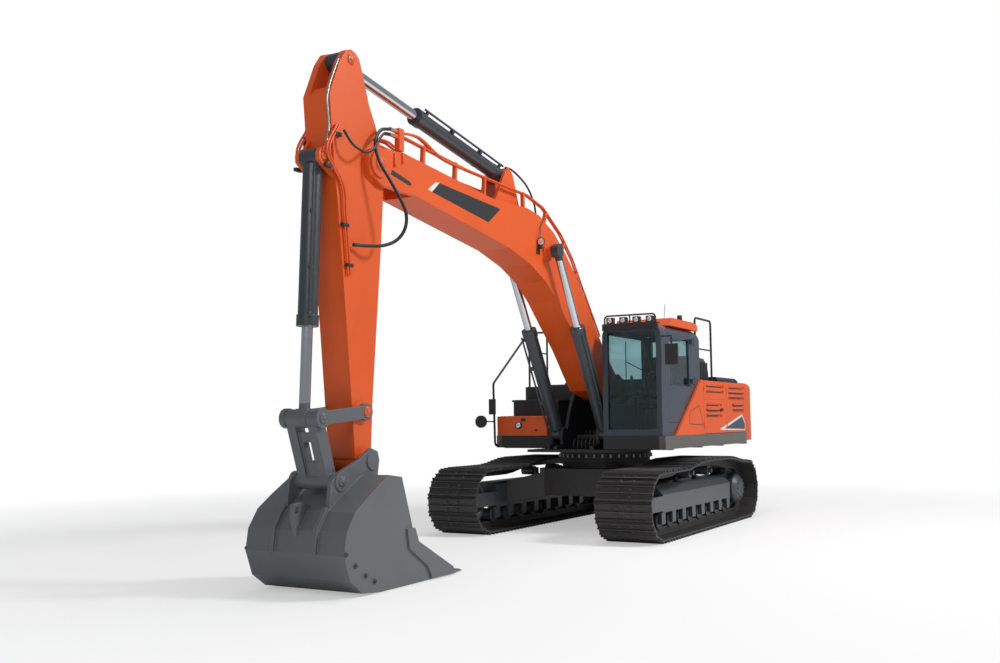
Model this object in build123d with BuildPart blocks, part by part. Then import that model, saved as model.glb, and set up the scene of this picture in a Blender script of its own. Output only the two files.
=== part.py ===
from build123d import *
import math
import os

os.makedirs("parts", exist_ok=True)

# The crawler excavator stands on its tracks, nose towards +X, left side towards +Y.
# The origin is the middle of its footprint on the ground; the swing axis stands behind it.
SWING_X = -1940.0

# Tracks
TRACK_GAUGE = 2600.0
SHOE_WIDTH = 800.0
TUMBLER_DISTANCE = 4040.0
SHOE_COUNT = 49
PITCH_RADIUS = 380.0
SHOE_SEAT = 45.0
SHOE_PLATE = 15.0
GROUSER_HEIGHT = 35.0
GROUSER_FOOT = 20.0
GROUSER_TIP = 8.0
SHOE_NOTCH = 7.0
RAIL_DEPTH = 50.0
STRAND_GAP = 90.0
STRAND_WIDTH = 60.0
HUMP_RISE = 95.0
RISE_START = 1150.0
HUMP_FRONT = 150.0
HUMP_REAR = -800.0
CARRIER_INSET = 50.0
CARRIER_RADIUS = 76.0
ROLLER_COUNT = 8
ROLLER_SPAN = 2940.0
ROLLER_RADIUS = 90.0
ROLLER_FLANGE = 112.0
SPROCKET_TEETH = 21

# Clearances
RUNNING_GAP = 0.3
SEAT_GAP = 0.3
PIN_GAP = 0.3
FLANGE_GAP = 5.0
PANEL_GAP = 6.0

# Track frames and car body
TRACK_FRAME_WIDTH = 380.0
TRACK_FRAME_BOTTOM = 352.0
TRACK_FRAME_TOP = 720.0
TRACK_FRAME_FRONT = 1490.0
TRACK_FRAME_REAR = 1560.0
CAR_BODY_LENGTH = 1900.0
CAR_BODY_WIDTH = 1500.0
CAR_BODY_BOTTOM = 500.0
CAR_BODY_TOP = 900.0
SWING_RING_RADIUS = 690.0
SWING_RING_BORE = 480.0
DECK_UNDERSIDE = 1150.0

# Revolving frame and house
DECK_PLATE = 40.0
SKIRT_BOTTOM = 1205.0
SKIRT_TOP = 1390.0
SKIRT_WALL = 40.0
HOUSE_HALF_WIDTH = 1495.0
HOUSE_FRONT = 1345.0
HOUSE_TOP = 2215.0
RIGHT_BOX_FRONT = 800.0
MAIN_PLATE_INSIDE = 270.0
MAIN_PLATE_THICKNESS = 50.0
PANEL_THICKNESS = 40.0
COUNTERWEIGHT_BOTTOM = 1250.0
COUNTERWEIGHT_TOP = 2230.0
COUNTERWEIGHT_DEPTH = 880.0
COUNTERWEIGHT_CORNER = 500.0
TAIL_RADIUS = 3480.0

# Cab
CAB_FRONT = 1330.0
CAB_REAR = 400.0
CAB_INNER = 560.0
CAB_SETBACK = 45.0
CAB_TOP = 2965.0
CAB_WALL = 55.0
CAB_POST = 75.0
ROOF_CAP = 115.0
GLASS_THICKNESS = 8.0
DOOR_FRONT = 1065.0
DOOR_REAR = 85.0
DOOR_TOP = 2860.0
DOOR_BOTTOM = 1570.0
DOOR_HINGE_REACH = 8.0
DOOR_SILL_HEIGHT = 2100.0

# Pins of the digging equipment, from the swing axis (X) and the ground (Z)
BOOM_FOOT = (170.0, 2100.0)
BOOM_CYLINDER_FOOT = (880.0, 1420.0)
BOOM_CYLINDER_HEAD = (2400.0, 3930.0)
ARM_PIN = (6300.0, 4330.0)
ARM_CYLINDER_FOOT = (3300.0, 4830.0)
ARM_CYLINDER_HEAD = (6700.0, 5345.0)
BUCKET_CYLINDER_FOOT = (7088.0, 4250.0)
LINK_PIN = (7200.0, 1670.0)
SIDE_LINK_PIN = (6500.0, 1730.0)
BUCKET_PIN = (6480.0, 1240.0)
BUCKET_LINK_PIN = (6985.0, 1060.0)

# Boom, arm and their cylinders
BOOM_HALF_WIDTH = 230.0
BOOM_FORK_DEPTH = 720.0
ARM_HALF_WIDTH = 170.0
ARM_NOSE_HALF_WIDTH = 235.0
EAR_THICKNESS = 45.0
BOOM_CYLINDER_LANE = 385.0
BOOM_BARREL_RADIUS = 98.0
BOOM_ROD_RADIUS = 55.0
ARM_BARREL_RADIUS = 93.0
ARM_ROD_RADIUS = 60.0
BUCKET_BARREL_RADIUS = 98.0
BUCKET_ROD_RADIUS = 55.0
PIN_RADIUS = 50.0
EYE_RADIUS = 95.0
GLAND_LENGTH = 110.0
GLAND_STEP = 12.0
BOOM_BARREL_LENGTH = 1760.0
ARM_BARREL_LENGTH = 2010.0
BUCKET_BARREL_LENGTH = 1690.0
BORE_BOTTOM = 115.0
BOOM_RETRACTION = 995.0
ARM_RETRACTION = 1305.0
BUCKET_RETRACTION = 640.0

# Bucket and linkage
BUCKET_HALF_WIDTH = 600.0
BUCKET_SIDE = 35.0
BUCKET_WRAPPER = 30.0
SIDE_LINK_INSIDE = 180.0
SIDE_LINK_THICKNESS = 55.0
TOOTH_COUNT = 5
CUTTER_THICKNESS = 22.0
LIFT_EYE_HALF = 25.0
LIFT_EYE_RADIUS = 35.0


def machine(x, z):
    """Point (x, z) measured from the swing axis, in the side view of the part's frame."""
    return (SWING_X + x, z)


def side_view(y):
    """Side-view plane at y: its x is +X, its y is +Z, and it extrudes towards -Y."""
    return Plane.XZ.offset(-y)


def slab(points, y_low, y_high, mode=Mode.ADD):
    """Plate with a side-view outline, between two values of y."""
    with BuildSketch(side_view(y_high)) as profile:
        with BuildLine():
            Polyline(*points, close=True)
        make_face()
    extrude(profile.sketch, amount=y_high - y_low, mode=mode)


def drum(centre, radius, y_low, y_high, mode=Mode.ADD):
    """Round bar or bore across the machine."""
    with BuildSketch(side_view(y_high)) as profile:
        with Locations(centre):
            Circle(radius)
    extrude(profile.sketch, amount=y_high - y_low, mode=mode)


def block(x_range, y_range, z_range, mode=Mode.ADD):
    """Box between pairs of coordinates."""
    middle = tuple((low + high) / 2 for low, high in (x_range, y_range, z_range))
    size = tuple(high - low for low, high in (x_range, y_range, z_range))
    with Locations(middle):
        Box(*size, mode=mode)


def turned(points, centre, mode=Mode.ADD):
    """Solid of revolution about a line across the machine; points are (radius, y)."""
    x, z = centre
    with BuildSketch(Plane.XY.offset(z)) as profile:
        with BuildLine():
            Polyline(*[(x + radius, y) for radius, y in points], close=True)
        make_face()
    revolve(profile.sketch, axis=Axis((x, 0, z), (0, 1, 0)), mode=mode)


def bar(start, end, radius, mode=Mode.ADD):
    """Round bar from one point in space to another."""
    run = Vector(*end) - Vector(*start)
    with BuildSketch(Plane(origin=start, z_dir=run.normalized())) as profile:
        Circle(radius)
    extrude(profile.sketch, amount=run.length, mode=mode)


def bent_bar(points, radius, bend):
    """Round bar along straight runs with equal bends."""
    with BuildLine() as path:
        FilletPolyline(*points, radius=bend)
    start = path.line @ 0
    heading = path.line % 0
    with BuildSketch(Plane(origin=start, z_dir=heading)) as profile:
        Circle(radius)
    sweep(profile.sketch, path=path.line)


def between(a, b, share):
    """Point part of the way from a to b in the side view."""
    return (a[0] + (b[0] - a[0]) * share, a[1] + (b[1] - a[1]) * share)


# Track chain path in the side view, through the link pins
tumbler_x = TUMBLER_DISTANCE / 2
ground_pitch = SHOE_SEAT + SHOE_PLATE + GROUSER_HEIGHT
axle_height = ground_pitch + PITCH_RADIUS
run_height = axle_height + PITCH_RADIUS
hump_height = run_height + HUMP_RISE
carrier_height = hump_height - RAIL_DEPTH - CARRIER_RADIUS
carrier_places = (HUMP_FRONT - CARRIER_INSET, HUMP_REAR + CARRIER_INSET)


def on_circle(centre_x, centre_z, radius, degrees):
    angle = math.radians(degrees)
    return (centre_x + radius * math.cos(angle), centre_z + radius * math.sin(angle))


def slope(start, end):
    """Two equal arcs that leave and join level runs of the chain, towards -X."""
    rise = end[1] - start[1]
    way = math.copysign(1, rise)
    radius = math.dist(start, end) ** 2 / (4 * abs(rise))
    turn = 2 * math.degrees(math.atan2(abs(rise), start[0] - end[0]))
    CenterArc((start[0], start[1] + way * radius), radius, -90 * way, -turn * way)
    CenterArc((end[0], end[1] - way * radius), radius, (90 - turn) * way, turn * way)


with BuildLine() as chain_path:
    Line((-tumbler_x, ground_pitch), (tumbler_x, ground_pitch))
    CenterArc((tumbler_x, axle_height), PITCH_RADIUS, -90, 180)
    Line((tumbler_x, run_height), (RISE_START, run_height))
    slope((RISE_START, run_height), (HUMP_FRONT, hump_height))
    Line((HUMP_FRONT, hump_height), (HUMP_REAR, hump_height))
    slope((HUMP_REAR, hump_height), (-tumbler_x, run_height))
    CenterArc((-tumbler_x, axle_height), PITCH_RADIUS, 90, 180)

chain_wire = chain_path.wire()
link_pitch = chain_wire.length / SHOE_COUNT
link_pins = [
    chain_wire.position_at(index * link_pitch, position_mode=PositionMode.LENGTH)
    for index in range(SHOE_COUNT)
]
plate_height = SHOE_SEAT + SHOE_PLATE
tip_height = plate_height + GROUSER_HEIGHT
chord_radius = math.sqrt(PITCH_RADIUS**2 - (link_pitch / 2) ** 2)

# One shoe along its link: leading grouser, middle grouser, trailing grouser
shoe_profile = [
    (SHOE_NOTCH, tip_height),
    (SHOE_NOTCH + GROUSER_FOOT, plate_height),
    (link_pitch / 2 - GROUSER_FOOT / 2, plate_height),
    (link_pitch / 2 - GROUSER_TIP / 2, tip_height),
    (link_pitch / 2 + GROUSER_TIP / 2, tip_height),
    (link_pitch / 2 + GROUSER_FOOT / 2, plate_height),
    (link_pitch - SHOE_NOTCH - GROUSER_FOOT, plate_height),
    (link_pitch - SHOE_NOTCH, tip_height),
]


def link_frame(index):
    """Start pin, direction and outward normal of one link."""
    start = link_pins[index % SHOE_COUNT]
    end = link_pins[(index + 1) % SHOE_COUNT]
    heading = (end - start).normalized()
    return start, heading, Vector(heading.Y, -heading.X)


def joint_point(index, height):
    """Point over a pin, on the line that halves the angle between its two links."""
    pin, heading, normal = link_frame(index)
    _, _, last_normal = link_frame(index - 1)
    middle = (normal + last_normal).normalized()
    return pin + middle * (height / middle.dot(normal))


def chain_point(point):
    return machine(point.X, point.Y)


def shoe_belt_outline():
    points = []
    for index in range(SHOE_COUNT):
        pin, heading, normal = link_frame(index)
        points.append(chain_point(joint_point(index, SHOE_SEAT + SHOE_PLATE / 3)))
        for along, height in shoe_profile:
            points.append(chain_point(pin + heading * along + normal * height))
    return points


def loop_outline(height):
    return [chain_point(joint_point(index, height)) for index in range(SHOE_COUNT)]


track_y = TRACK_GAUGE / 2
strand_lanes = (
    (track_y - STRAND_GAP / 2 - STRAND_WIDTH, track_y - STRAND_GAP / 2),
    (track_y + STRAND_GAP / 2, track_y + STRAND_GAP / 2 + STRAND_WIDTH),
)

# Track: one closed loop of triple-grouser shoes on two strands of links
with BuildPart() as track_left:
    slab(shoe_belt_outline(), track_y - SHOE_WIDTH / 2, track_y + SHOE_WIDTH / 2)
    slab(
        loop_outline(SHOE_SEAT),
        track_y - SHOE_WIDTH / 2,
        track_y + SHOE_WIDTH / 2,
        mode=Mode.SUBTRACT,
    )
    with BuildSketch(side_view(strand_lanes[0][1]), side_view(strand_lanes[1][1])) as strands:
        with BuildLine():
            Polyline(*loop_outline(SHOE_SEAT + SHOE_PLATE / 6), close=True)
        make_face()
        with BuildLine():
            Polyline(*loop_outline(-RAIL_DEPTH), close=True)
        make_face(mode=Mode.SUBTRACT)
    extrude(strands.sketch, amount=STRAND_WIDTH)
track_left.part.label = "track_left"
export_step(track_left.part, "parts/track_left.step")

with BuildPart() as track_right:
    mirror(track_left.part, about=Plane.XZ)
track_right.part.label = "track_right"
export_step(track_right.part, "parts/track_right.step")

# Front idler: rim under the links, flange between the strands, spoked web and axle
idler_centre = machine(tumbler_x, axle_height)
tread_radius = chord_radius - RAIL_DEPTH - RUNNING_GAP
rim_half_width = STRAND_GAP / 2 + STRAND_WIDTH
flange_half_width = STRAND_GAP / 2 - FLANGE_GAP
axle_half_width = 185.0
axle_radius = 60.0
with BuildPart() as idlers:
    for side in (1, -1):
        middle = side * track_y
        turned(
            [
                (0, middle - axle_half_width),
                (axle_radius, middle - axle_half_width),
                (axle_radius, middle - rim_half_width),
                (tread_radius - 90, middle - rim_half_width + 30),
                (tread_radius - 60, middle - rim_half_width),
                (tread_radius, middle - rim_half_width),
                (tread_radius, middle - flange_half_width),
                (tread_radius + 22, middle - flange_half_width + 8),
                (tread_radius + 22, middle + flange_half_width - 8),
                (tread_radius, middle + flange_half_width),
                (tread_radius, middle + rim_half_width),
                (tread_radius - 60, middle + rim_half_width),
                (tread_radius - 90, middle + rim_half_width - 30),
                (axle_radius, middle + rim_half_width),
                (axle_radius, middle + axle_half_width),
                (0, middle + axle_half_width),
            ],
            idler_centre,
        )
idlers.part.label = "idlers"
export_step(idlers.part, "parts/idlers.step")

# Drive sprocket with its domed final drive on the outside and its motor on the inside
sprocket_centre = machine(-tumbler_x, axle_height)
sprocket_root = tread_radius - 12
sprocket_tip = PITCH_RADIUS - 8
sprocket_half_width = STRAND_GAP / 2 - FLANGE_GAP
final_drive_radius = 245.0
final_drive_out = 250.0
motor_radius = 190.0
motor_in = 330.0


def sprocket_outline():
    points = []
    step = 360 / SPROCKET_TEETH
    for tooth in range(SPROCKET_TEETH):
        start = tooth * step
        points.append(on_circle(*sprocket_centre, sprocket_root, start))
        points.append(on_circle(*sprocket_centre, sprocket_tip, start + step * 0.35))
        points.append(on_circle(*sprocket_centre, sprocket_tip, start + step * 0.5))
        points.append(on_circle(*sprocket_centre, sprocket_root, start + step * 0.85))
    return points


with BuildPart() as sprockets:
    for side in (1, -1):
        middle = side * track_y
        slab(sprocket_outline(), middle - sprocket_half_width, middle + sprocket_half_width)
        outer = middle + side * final_drive_out
        turned(
            [
                (0, middle),
                (final_drive_radius, middle),
                (final_drive_radius, outer - side * 90),
                (final_drive_radius - 55, outer - side * 30),
                (final_drive_radius - 130, outer),
                (0, outer),
            ],
            sprocket_centre,
        )
        inner = middle - side * motor_in
        turned(
            [(0, middle), (motor_radius, middle), (motor_radius, inner), (0, inner)],
            sprocket_centre,
        )
sprockets.part.label = "sprockets"
export_step(sprockets.part, "parts/sprockets.step")

# Bottom and carrier rollers with the shafts and collars that hold them to the frame
roller_height = ground_pitch + RAIL_DEPTH + RUNNING_GAP + ROLLER_RADIUS
roller_lane_out = STRAND_GAP / 2 + STRAND_WIDTH + 3
collar_out = TRACK_FRAME_WIDTH / 2
roller_pitch = ROLLER_SPAN / (ROLLER_COUNT - 1)
roller_places = [index * roller_pitch - ROLLER_SPAN / 2 for index in range(ROLLER_COUNT)]
with BuildPart() as rollers:
    for side in (1, -1):
        middle = side * track_y
        for place in roller_places:
            x, z = machine(place, roller_height)
            turned(
                [
                    (0, middle - collar_out + 2),
                    (45, middle - collar_out + 2),
                    (45, middle - roller_lane_out - 22),
                    (ROLLER_FLANGE, middle - roller_lane_out - 18),
                    (ROLLER_FLANGE, middle - roller_lane_out),
                    (ROLLER_RADIUS, middle - roller_lane_out),
                    (ROLLER_RADIUS, middle + roller_lane_out),
                    (ROLLER_FLANGE, middle + roller_lane_out),
                    (ROLLER_FLANGE, middle + roller_lane_out + 18),
                    (45, middle + roller_lane_out + 22),
                    (45, middle + collar_out - 2),
                    (0, middle + collar_out - 2),
                ],
                (x, z),
            )
            for lane in (middle - collar_out + 24, middle + collar_out - 24):
                block((x - 70, x + 70), (lane - 22, lane + 22), (z - 40, TRACK_FRAME_BOTTOM))
        for place in carrier_places:
            x, z = machine(place, carrier_height)
            turned(
                [
                    (0, middle - roller_lane_out),
                    (CARRIER_RADIUS - 6, middle - roller_lane_out),
                    (CARRIER_RADIUS - 6, middle + roller_lane_out),
                    (35, middle + roller_lane_out),
                    (35, middle + collar_out - 30),
                    (0, middle + collar_out - 30),
                ],
                (x, z),
            )
            block(
                (x - 45, x + 45),
                sorted((middle - side * (roller_lane_out + 45), middle - side * roller_lane_out)),
                (TRACK_FRAME_TOP, z + 50),
            )
rollers.part.label = "rollers"
export_step(rollers.part, "parts/rollers.step")

# Track frame: box beam with sloped shoulders, forked at the idler and plated at the drive
frame_half = TRACK_FRAME_WIDTH / 2
yoke_inside = axle_half_width - 40
with BuildPart() as track_frame_left:
    with BuildSketch(Plane.YZ.offset(SWING_X - TRACK_FRAME_REAR)) as section:
        with BuildLine():
            Polyline(
                (track_y - frame_half, TRACK_FRAME_BOTTOM),
                (track_y + frame_half, TRACK_FRAME_BOTTOM),
                (track_y + frame_half, TRACK_FRAME_TOP - 130),
                (track_y + frame_half - 110, TRACK_FRAME_TOP),
                (track_y - frame_half + 40, TRACK_FRAME_TOP),
                (track_y - frame_half, TRACK_FRAME_TOP - 40),
                close=True,
            )
        make_face()
    extrude(section.sketch, amount=TRACK_FRAME_REAR + TRACK_FRAME_FRONT)
    for lane in (track_y - frame_half, track_y + yoke_inside):
        slab(
            [
                machine(TRACK_FRAME_FRONT - 200, TRACK_FRAME_BOTTOM + 20),
                machine(tumbler_x + 40, axle_height - 95),
                machine(tumbler_x + 110, axle_height),
                machine(tumbler_x + 40, axle_height + 95),
                machine(TRACK_FRAME_FRONT - 200, TRACK_FRAME_TOP - 140),
            ],
            lane,
            lane + frame_half - yoke_inside,
        )
    slab(
        [
            machine(-ROLLER_SPAN / 2 - 110, TRACK_FRAME_BOTTOM),
            machine(-tumbler_x - 120, axle_height - 230),
            machine(-tumbler_x - 250, axle_height - 60),
            machine(-tumbler_x - 250, axle_height + 60),
            machine(-tumbler_x - 120, axle_height + 230),
            machine(200 - TRACK_FRAME_REAR, TRACK_FRAME_TOP - 60),
        ],
        track_y - frame_half,
        track_y - frame_half + 45,
    )
    drum(
        sprocket_centre,
        motor_radius + SEAT_GAP,
        track_y - frame_half - 20,
        track_y - frame_half + 65,
        mode=Mode.SUBTRACT,
    )
    drum(
        idler_centre,
        axle_radius + SEAT_GAP,
        track_y - frame_half - 20,
        track_y + frame_half + 20,
        mode=Mode.SUBTRACT,
    )
track_frame_left.part.label = "track_frame_left"
export_step(track_frame_left.part, "parts/track_frame_left.step")

with BuildPart() as track_frame_right:
    mirror(track_frame_left.part, about=Plane.XZ)
track_frame_right.part.label = "track_frame_right"
export_step(track_frame_right.part, "parts/track_frame_right.step")

# Car body: centre box with four box legs that run out to the track frames
leg_end = track_y - frame_half
with BuildPart() as car_body:
    block(
        (SWING_X - CAR_BODY_LENGTH / 2, SWING_X + CAR_BODY_LENGTH / 2),
        (-CAR_BODY_WIDTH / 2, CAR_BODY_WIDTH / 2),
        (CAR_BODY_BOTTOM, CAR_BODY_TOP),
    )
    chamfer(car_body.edges().filter_by(Axis.Z), length=160)
    for end in (1, -1):
        for side in (1, -1):
            near = side * CAR_BODY_WIDTH * 0.3
            with BuildSketch(Plane.XZ.offset(-near)) as root:
                with Locations((SWING_X + end * 640, (CAR_BODY_BOTTOM + CAR_BODY_TOP) / 2)):
                    Rectangle(480, CAR_BODY_TOP - CAR_BODY_BOTTOM - 20)
            with BuildSketch(Plane.XZ.offset(-side * leg_end)) as tip:
                with Locations((SWING_X + end * 900, TRACK_FRAME_TOP - 170)):
                    Rectangle(560, 330)
            loft(sections=[root.sketch, tip.sketch])
    with BuildSketch(Plane.XY.offset(CAR_BODY_TOP)) as pedestal:
        with Locations((SWING_X, 0)):
            Circle(SWING_RING_RADIUS - 20)
    extrude(pedestal.sketch, amount=70)
    with BuildSketch(Plane.XY.offset(CAR_BODY_BOTTOM)) as well:
        with Locations((SWING_X, 0)):
            Circle(SWING_RING_BORE - 60)
    extrude(well.sketch, amount=CAR_BODY_TOP, mode=Mode.SUBTRACT)
car_body.part.label = "car_body"
export_step(car_body.part, "parts/car_body.step")

# Swing bearing: lower race bolted to the car body
race_bottom = CAR_BODY_TOP + 70
with BuildPart() as swing_ring:
    with BuildSketch(Plane.XY.offset(race_bottom)) as race:
        with Locations((SWING_X, 0)):
            Circle(SWING_RING_RADIUS)
            Circle(SWING_RING_BORE, mode=Mode.SUBTRACT)
    extrude(race.sketch, amount=80)
    with BuildSketch(Plane.XY.offset(race_bottom + 80)) as inner_race:
        with Locations((SWING_X, 0)):
            Circle(SWING_RING_RADIUS - 90)
            Circle(SWING_RING_BORE, mode=Mode.SUBTRACT)
    extrude(inner_race.sketch, amount=DECK_UNDERSIDE - race_bottom - 80 - RUNNING_GAP)
swing_ring.part.label = "swing_ring"
export_step(swing_ring.part, "parts/swing_ring.step")

# Revolving frame: floor plate, two main plates with the boom brackets, decks and skirts
plate_out = MAIN_PLATE_INSIDE + MAIN_PLATE_THICKNESS
cab_outer = HOUSE_HALF_WIDTH - CAB_SETBACK
foot_x, foot_z = machine(*BOOM_FOOT)
cylinder_x, cylinder_z = machine(*BOOM_CYLINDER_FOOT)
floor_top = DECK_UNDERSIDE + DECK_PLATE
rear_x = SWING_X - TAIL_RADIUS + COUNTERWEIGHT_DEPTH
front_x = SWING_X + HOUSE_FRONT
right_front_x = SWING_X + RIGHT_BOX_FRONT
nose_x = SWING_X + 1170
boom_eye_half = 55.0
lug_outside = BOOM_CYLINDER_LANE + boom_eye_half + PIN_GAP
with BuildPart() as upper_frame:
    block((rear_x, nose_x), (-760, 760), (DECK_UNDERSIDE, floor_top))
    with BuildSketch(Plane.XY.offset(DECK_UNDERSIDE - 100)) as outer_race:
        with Locations((SWING_X, 0)):
            Circle(SWING_RING_RADIUS + 15)
            Circle(SWING_RING_RADIUS - 80, mode=Mode.SUBTRACT)
    extrude(outer_race.sketch, amount=100)
    for side in (1, -1):
        low = min(side * MAIN_PLATE_INSIDE, side * plate_out)
        slab(
            [
                (rear_x, floor_top),
                (nose_x, floor_top),
                (nose_x, cylinder_z - 180),
                (cylinder_x + 65, cylinder_z - 150),
                (cylinder_x + 90, cylinder_z - 50),
                (cylinder_x + 75, cylinder_z + 60),
                (cylinder_x, cylinder_z + 95),
                (cylinder_x - 90, cylinder_z + 60),
                (foot_x + 480, foot_z - 290),
                (foot_x + 190, foot_z + 130),
                (foot_x, foot_z + 220),
                (foot_x - 190, foot_z + 130),
                (foot_x - 420, foot_z - 420),
                (foot_x - 1100, floor_top + 330),
                (rear_x, floor_top + 330),
            ],
            low,
            low + MAIN_PLATE_THICKNESS,
        )
        drum((foot_x, foot_z), PIN_RADIUS + 60, *sorted((side * plate_out, side * (plate_out + 12))))
        lug_low = side * lug_outside if side > 0 else side * lug_outside - 45
        slab(
            [
                (cylinder_x - 330, floor_top),
                (cylinder_x + 180, floor_top),
                (cylinder_x + 160, cylinder_z - 165),
                (cylinder_x + 65, cylinder_z - 150),
                (cylinder_x + 90, cylinder_z - 50),
                (cylinder_x + 75, cylinder_z + 60),
                (cylinder_x, cylinder_z + 95),
                (cylinder_x - 90, cylinder_z + 60),
                (cylinder_x - 130, cylinder_z - 40),
            ],
            lug_low,
            lug_low + 45,
        )
        drum((cylinder_x, cylinder_z), PIN_RADIUS, *sorted((side * MAIN_PLATE_INSIDE, side * lug_outside)))
        eye_side = BOOM_CYLINDER_LANE - boom_eye_half - PIN_GAP
        drum((cylinder_x, cylinder_z), EYE_RADIUS - 10, *sorted((side * plate_out, side * eye_side)))
    drum((foot_x, foot_z), PIN_RADIUS, -plate_out, plate_out)
    # Left and right decks with their cross beams and outer skirts
    for side, deck_front in ((1, front_x), (-1, right_front_x)):
        deck_in = side * 560
        deck_out = side * HOUSE_HALF_WIDTH
        block(
            (rear_x, deck_front),
            sorted((deck_in, deck_out)),
            (SKIRT_TOP - 25, SKIRT_TOP),
        )
        block(
            (rear_x, deck_front),
            sorted((deck_out - side * SKIRT_WALL, deck_out)),
            (SKIRT_BOTTOM, SKIRT_TOP),
        )
        block(
            (deck_front - SKIRT_WALL, deck_front),
            sorted((deck_in, deck_out)),
            (SKIRT_BOTTOM, SKIRT_TOP),
        )
        plate_side = side * MAIN_PLATE_INSIDE
        beams = (
            (deck_front - 330, deck_in),
            (SWING_X - 250, plate_side),
            (SWING_X - 1300, plate_side),
            (rear_x, plate_side),
        )
        for beam_x, beam_in in beams:
            block((beam_x, beam_x + 90), sorted((beam_in, deck_out)), (floor_top, SKIRT_TOP - 20))
        block(
            (rear_x, deck_front - 300),
            sorted((deck_in, deck_in - side * 40)),
            (floor_top, SKIRT_TOP),
        )
upper_frame.part.label = "upper_frame"
export_step(upper_frame.part, "parts/upper_frame.step")

# Counterweight: cast block with a round tail, rounded corners and a stepped foot
with BuildPart() as counterweight:
    tail_side = math.sqrt(TAIL_RADIUS**2 - HOUSE_HALF_WIDTH**2)
    weight_front = rear_x - SEAT_GAP
    with BuildSketch(Plane.XY.offset(COUNTERWEIGHT_BOTTOM)) as plan:
        with BuildLine():
            Polyline(
                (SWING_X - tail_side, -HOUSE_HALF_WIDTH),
                (weight_front, -HOUSE_HALF_WIDTH),
                (weight_front, HOUSE_HALF_WIDTH),
                (SWING_X - tail_side, HOUSE_HALF_WIDTH),
            )
            ThreePointArc(
                (SWING_X - tail_side, HOUSE_HALF_WIDTH),
                (SWING_X - TAIL_RADIUS, 0),
                (SWING_X - tail_side, -HOUSE_HALF_WIDTH),
            )
        make_face()
    extrude(plan.sketch, amount=COUNTERWEIGHT_TOP - COUNTERWEIGHT_BOTTOM)
    corners = counterweight.edges().filter_by(Axis.Z).sort_by(Axis.X)[:2]
    fillet(corners, radius=COUNTERWEIGHT_CORNER)
    fillet(counterweight.faces().sort_by(Axis.Z)[-1].edges().sort_by(Axis.X)[:3], radius=110)
counterweight.part.label = "counterweight"
export_step(counterweight.part, "parts/counterweight.step")

# Engine with its cooling pack, closed in behind the panels
with BuildPart() as engine_block:
    block((rear_x + 130, rear_x + 930), (-850, 750), (floor_top + 350, 2060))
    for side in (1, -1):
        low, high = sorted((side * MAIN_PLATE_INSIDE, side * plate_out))
        block((rear_x + 300, rear_x + 760), (low, high), (floor_top + 330, floor_top + 350))
engine_block.part.label = "engine_block"
export_step(engine_block.part, "parts/engine_block.step")

# Fixed orange side panel with the slanted front edge beside the cab
panel_in = HOUSE_HALF_WIDTH - PANEL_THICKNESS
slant_low = machine(870, SKIRT_TOP)
slant_high = machine(-260, HOUSE_TOP)
door_line_x = SWING_X - 345
mid_line_x = SWING_X - 1490
with BuildPart() as side_panel:
    slab([slant_low, slant_high, (door_line_x, HOUSE_TOP), (door_line_x, SKIRT_TOP)],
         panel_in, HOUSE_HALF_WIDTH)
side_panel.part.label = "side_panel"
export_step(side_panel.part, "parts/side_panel.step")

# Louvred side doors; each is one pressed panel with slots
LOUVRE_HEIGHT = 45.0
LOUVRE_PITCH = 85.0
KNUCKLE_RADIUS = 7.0
KNUCKLE_SETBACK = 6.0
knuckle_heights = (1520.0, 2080.0)


def louvres(x_range, top, count, y_range):
    """Row of horizontal slots cut in a side panel, the highest first."""
    for index in range(count):
        z_high = top - index * LOUVRE_PITCH
        block(x_range, y_range, (z_high - LOUVRE_HEIGHT, z_high), mode=Mode.SUBTRACT)


def knuckles(x, y, heights):
    """Hinge knuckles on the outer face of a side door, set back from its front edge."""
    axis_x = x - KNUCKLE_SETBACK
    for height in heights:
        bar((axis_x, y, height - 45), (axis_x, y, height + 45), KNUCKLE_RADIUS)


door_low = SKIRT_TOP + PANEL_GAP
door_high = HOUSE_TOP - PANEL_GAP
slot_depth = (HOUSE_HALF_WIDTH - PANEL_THICKNESS / 2, HOUSE_HALF_WIDTH + 1)
with BuildPart() as left_front_door:
    block((mid_line_x + PANEL_GAP / 2, door_line_x - PANEL_GAP), (panel_in, HOUSE_HALF_WIDTH),
          (door_low, door_high))
    louvres((mid_line_x + 130, door_line_x - 120), 2150, 2, slot_depth)
    louvres((mid_line_x + 250, door_line_x - 120), 1860, 3, slot_depth)
    knuckles(door_line_x - PANEL_GAP, HOUSE_HALF_WIDTH + 4, knuckle_heights)
left_front_door.part.label = "left_front_door"
export_step(left_front_door.part, "parts/left_front_door.step")

with BuildPart() as left_rear_door:
    block((rear_x + PANEL_GAP, mid_line_x - PANEL_GAP / 2), (panel_in, HOUSE_HALF_WIDTH),
          (door_low, door_high))
    louvres((rear_x + 110, mid_line_x - 130), 2150, 3, slot_depth)
    louvres((rear_x + 130, mid_line_x - 330), 1860, 2, slot_depth)
    knuckles(mid_line_x - PANEL_GAP / 2, HOUSE_HALF_WIDTH + 4, knuckle_heights)
left_rear_door.part.label = "left_rear_door"
export_step(left_rear_door.part, "parts/left_rear_door.step")

tank_rear_x = SWING_X - 1000
with BuildPart() as right_door:
    block((rear_x + PANEL_GAP, tank_rear_x - PANEL_GAP), (-HOUSE_HALF_WIDTH, -panel_in),
          (door_low, door_high))
    louvres((rear_x + 150, rear_x + 850), 2120, 3,
            (-HOUSE_HALF_WIDTH - 1, -HOUSE_HALF_WIDTH + PANEL_THICKNESS / 2))
    knuckles(tank_rear_x - PANEL_GAP, -HOUSE_HALF_WIDTH - 4, knuckle_heights)
right_door.part.label = "right_door"
export_step(right_door.part, "parts/right_door.step")

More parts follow.
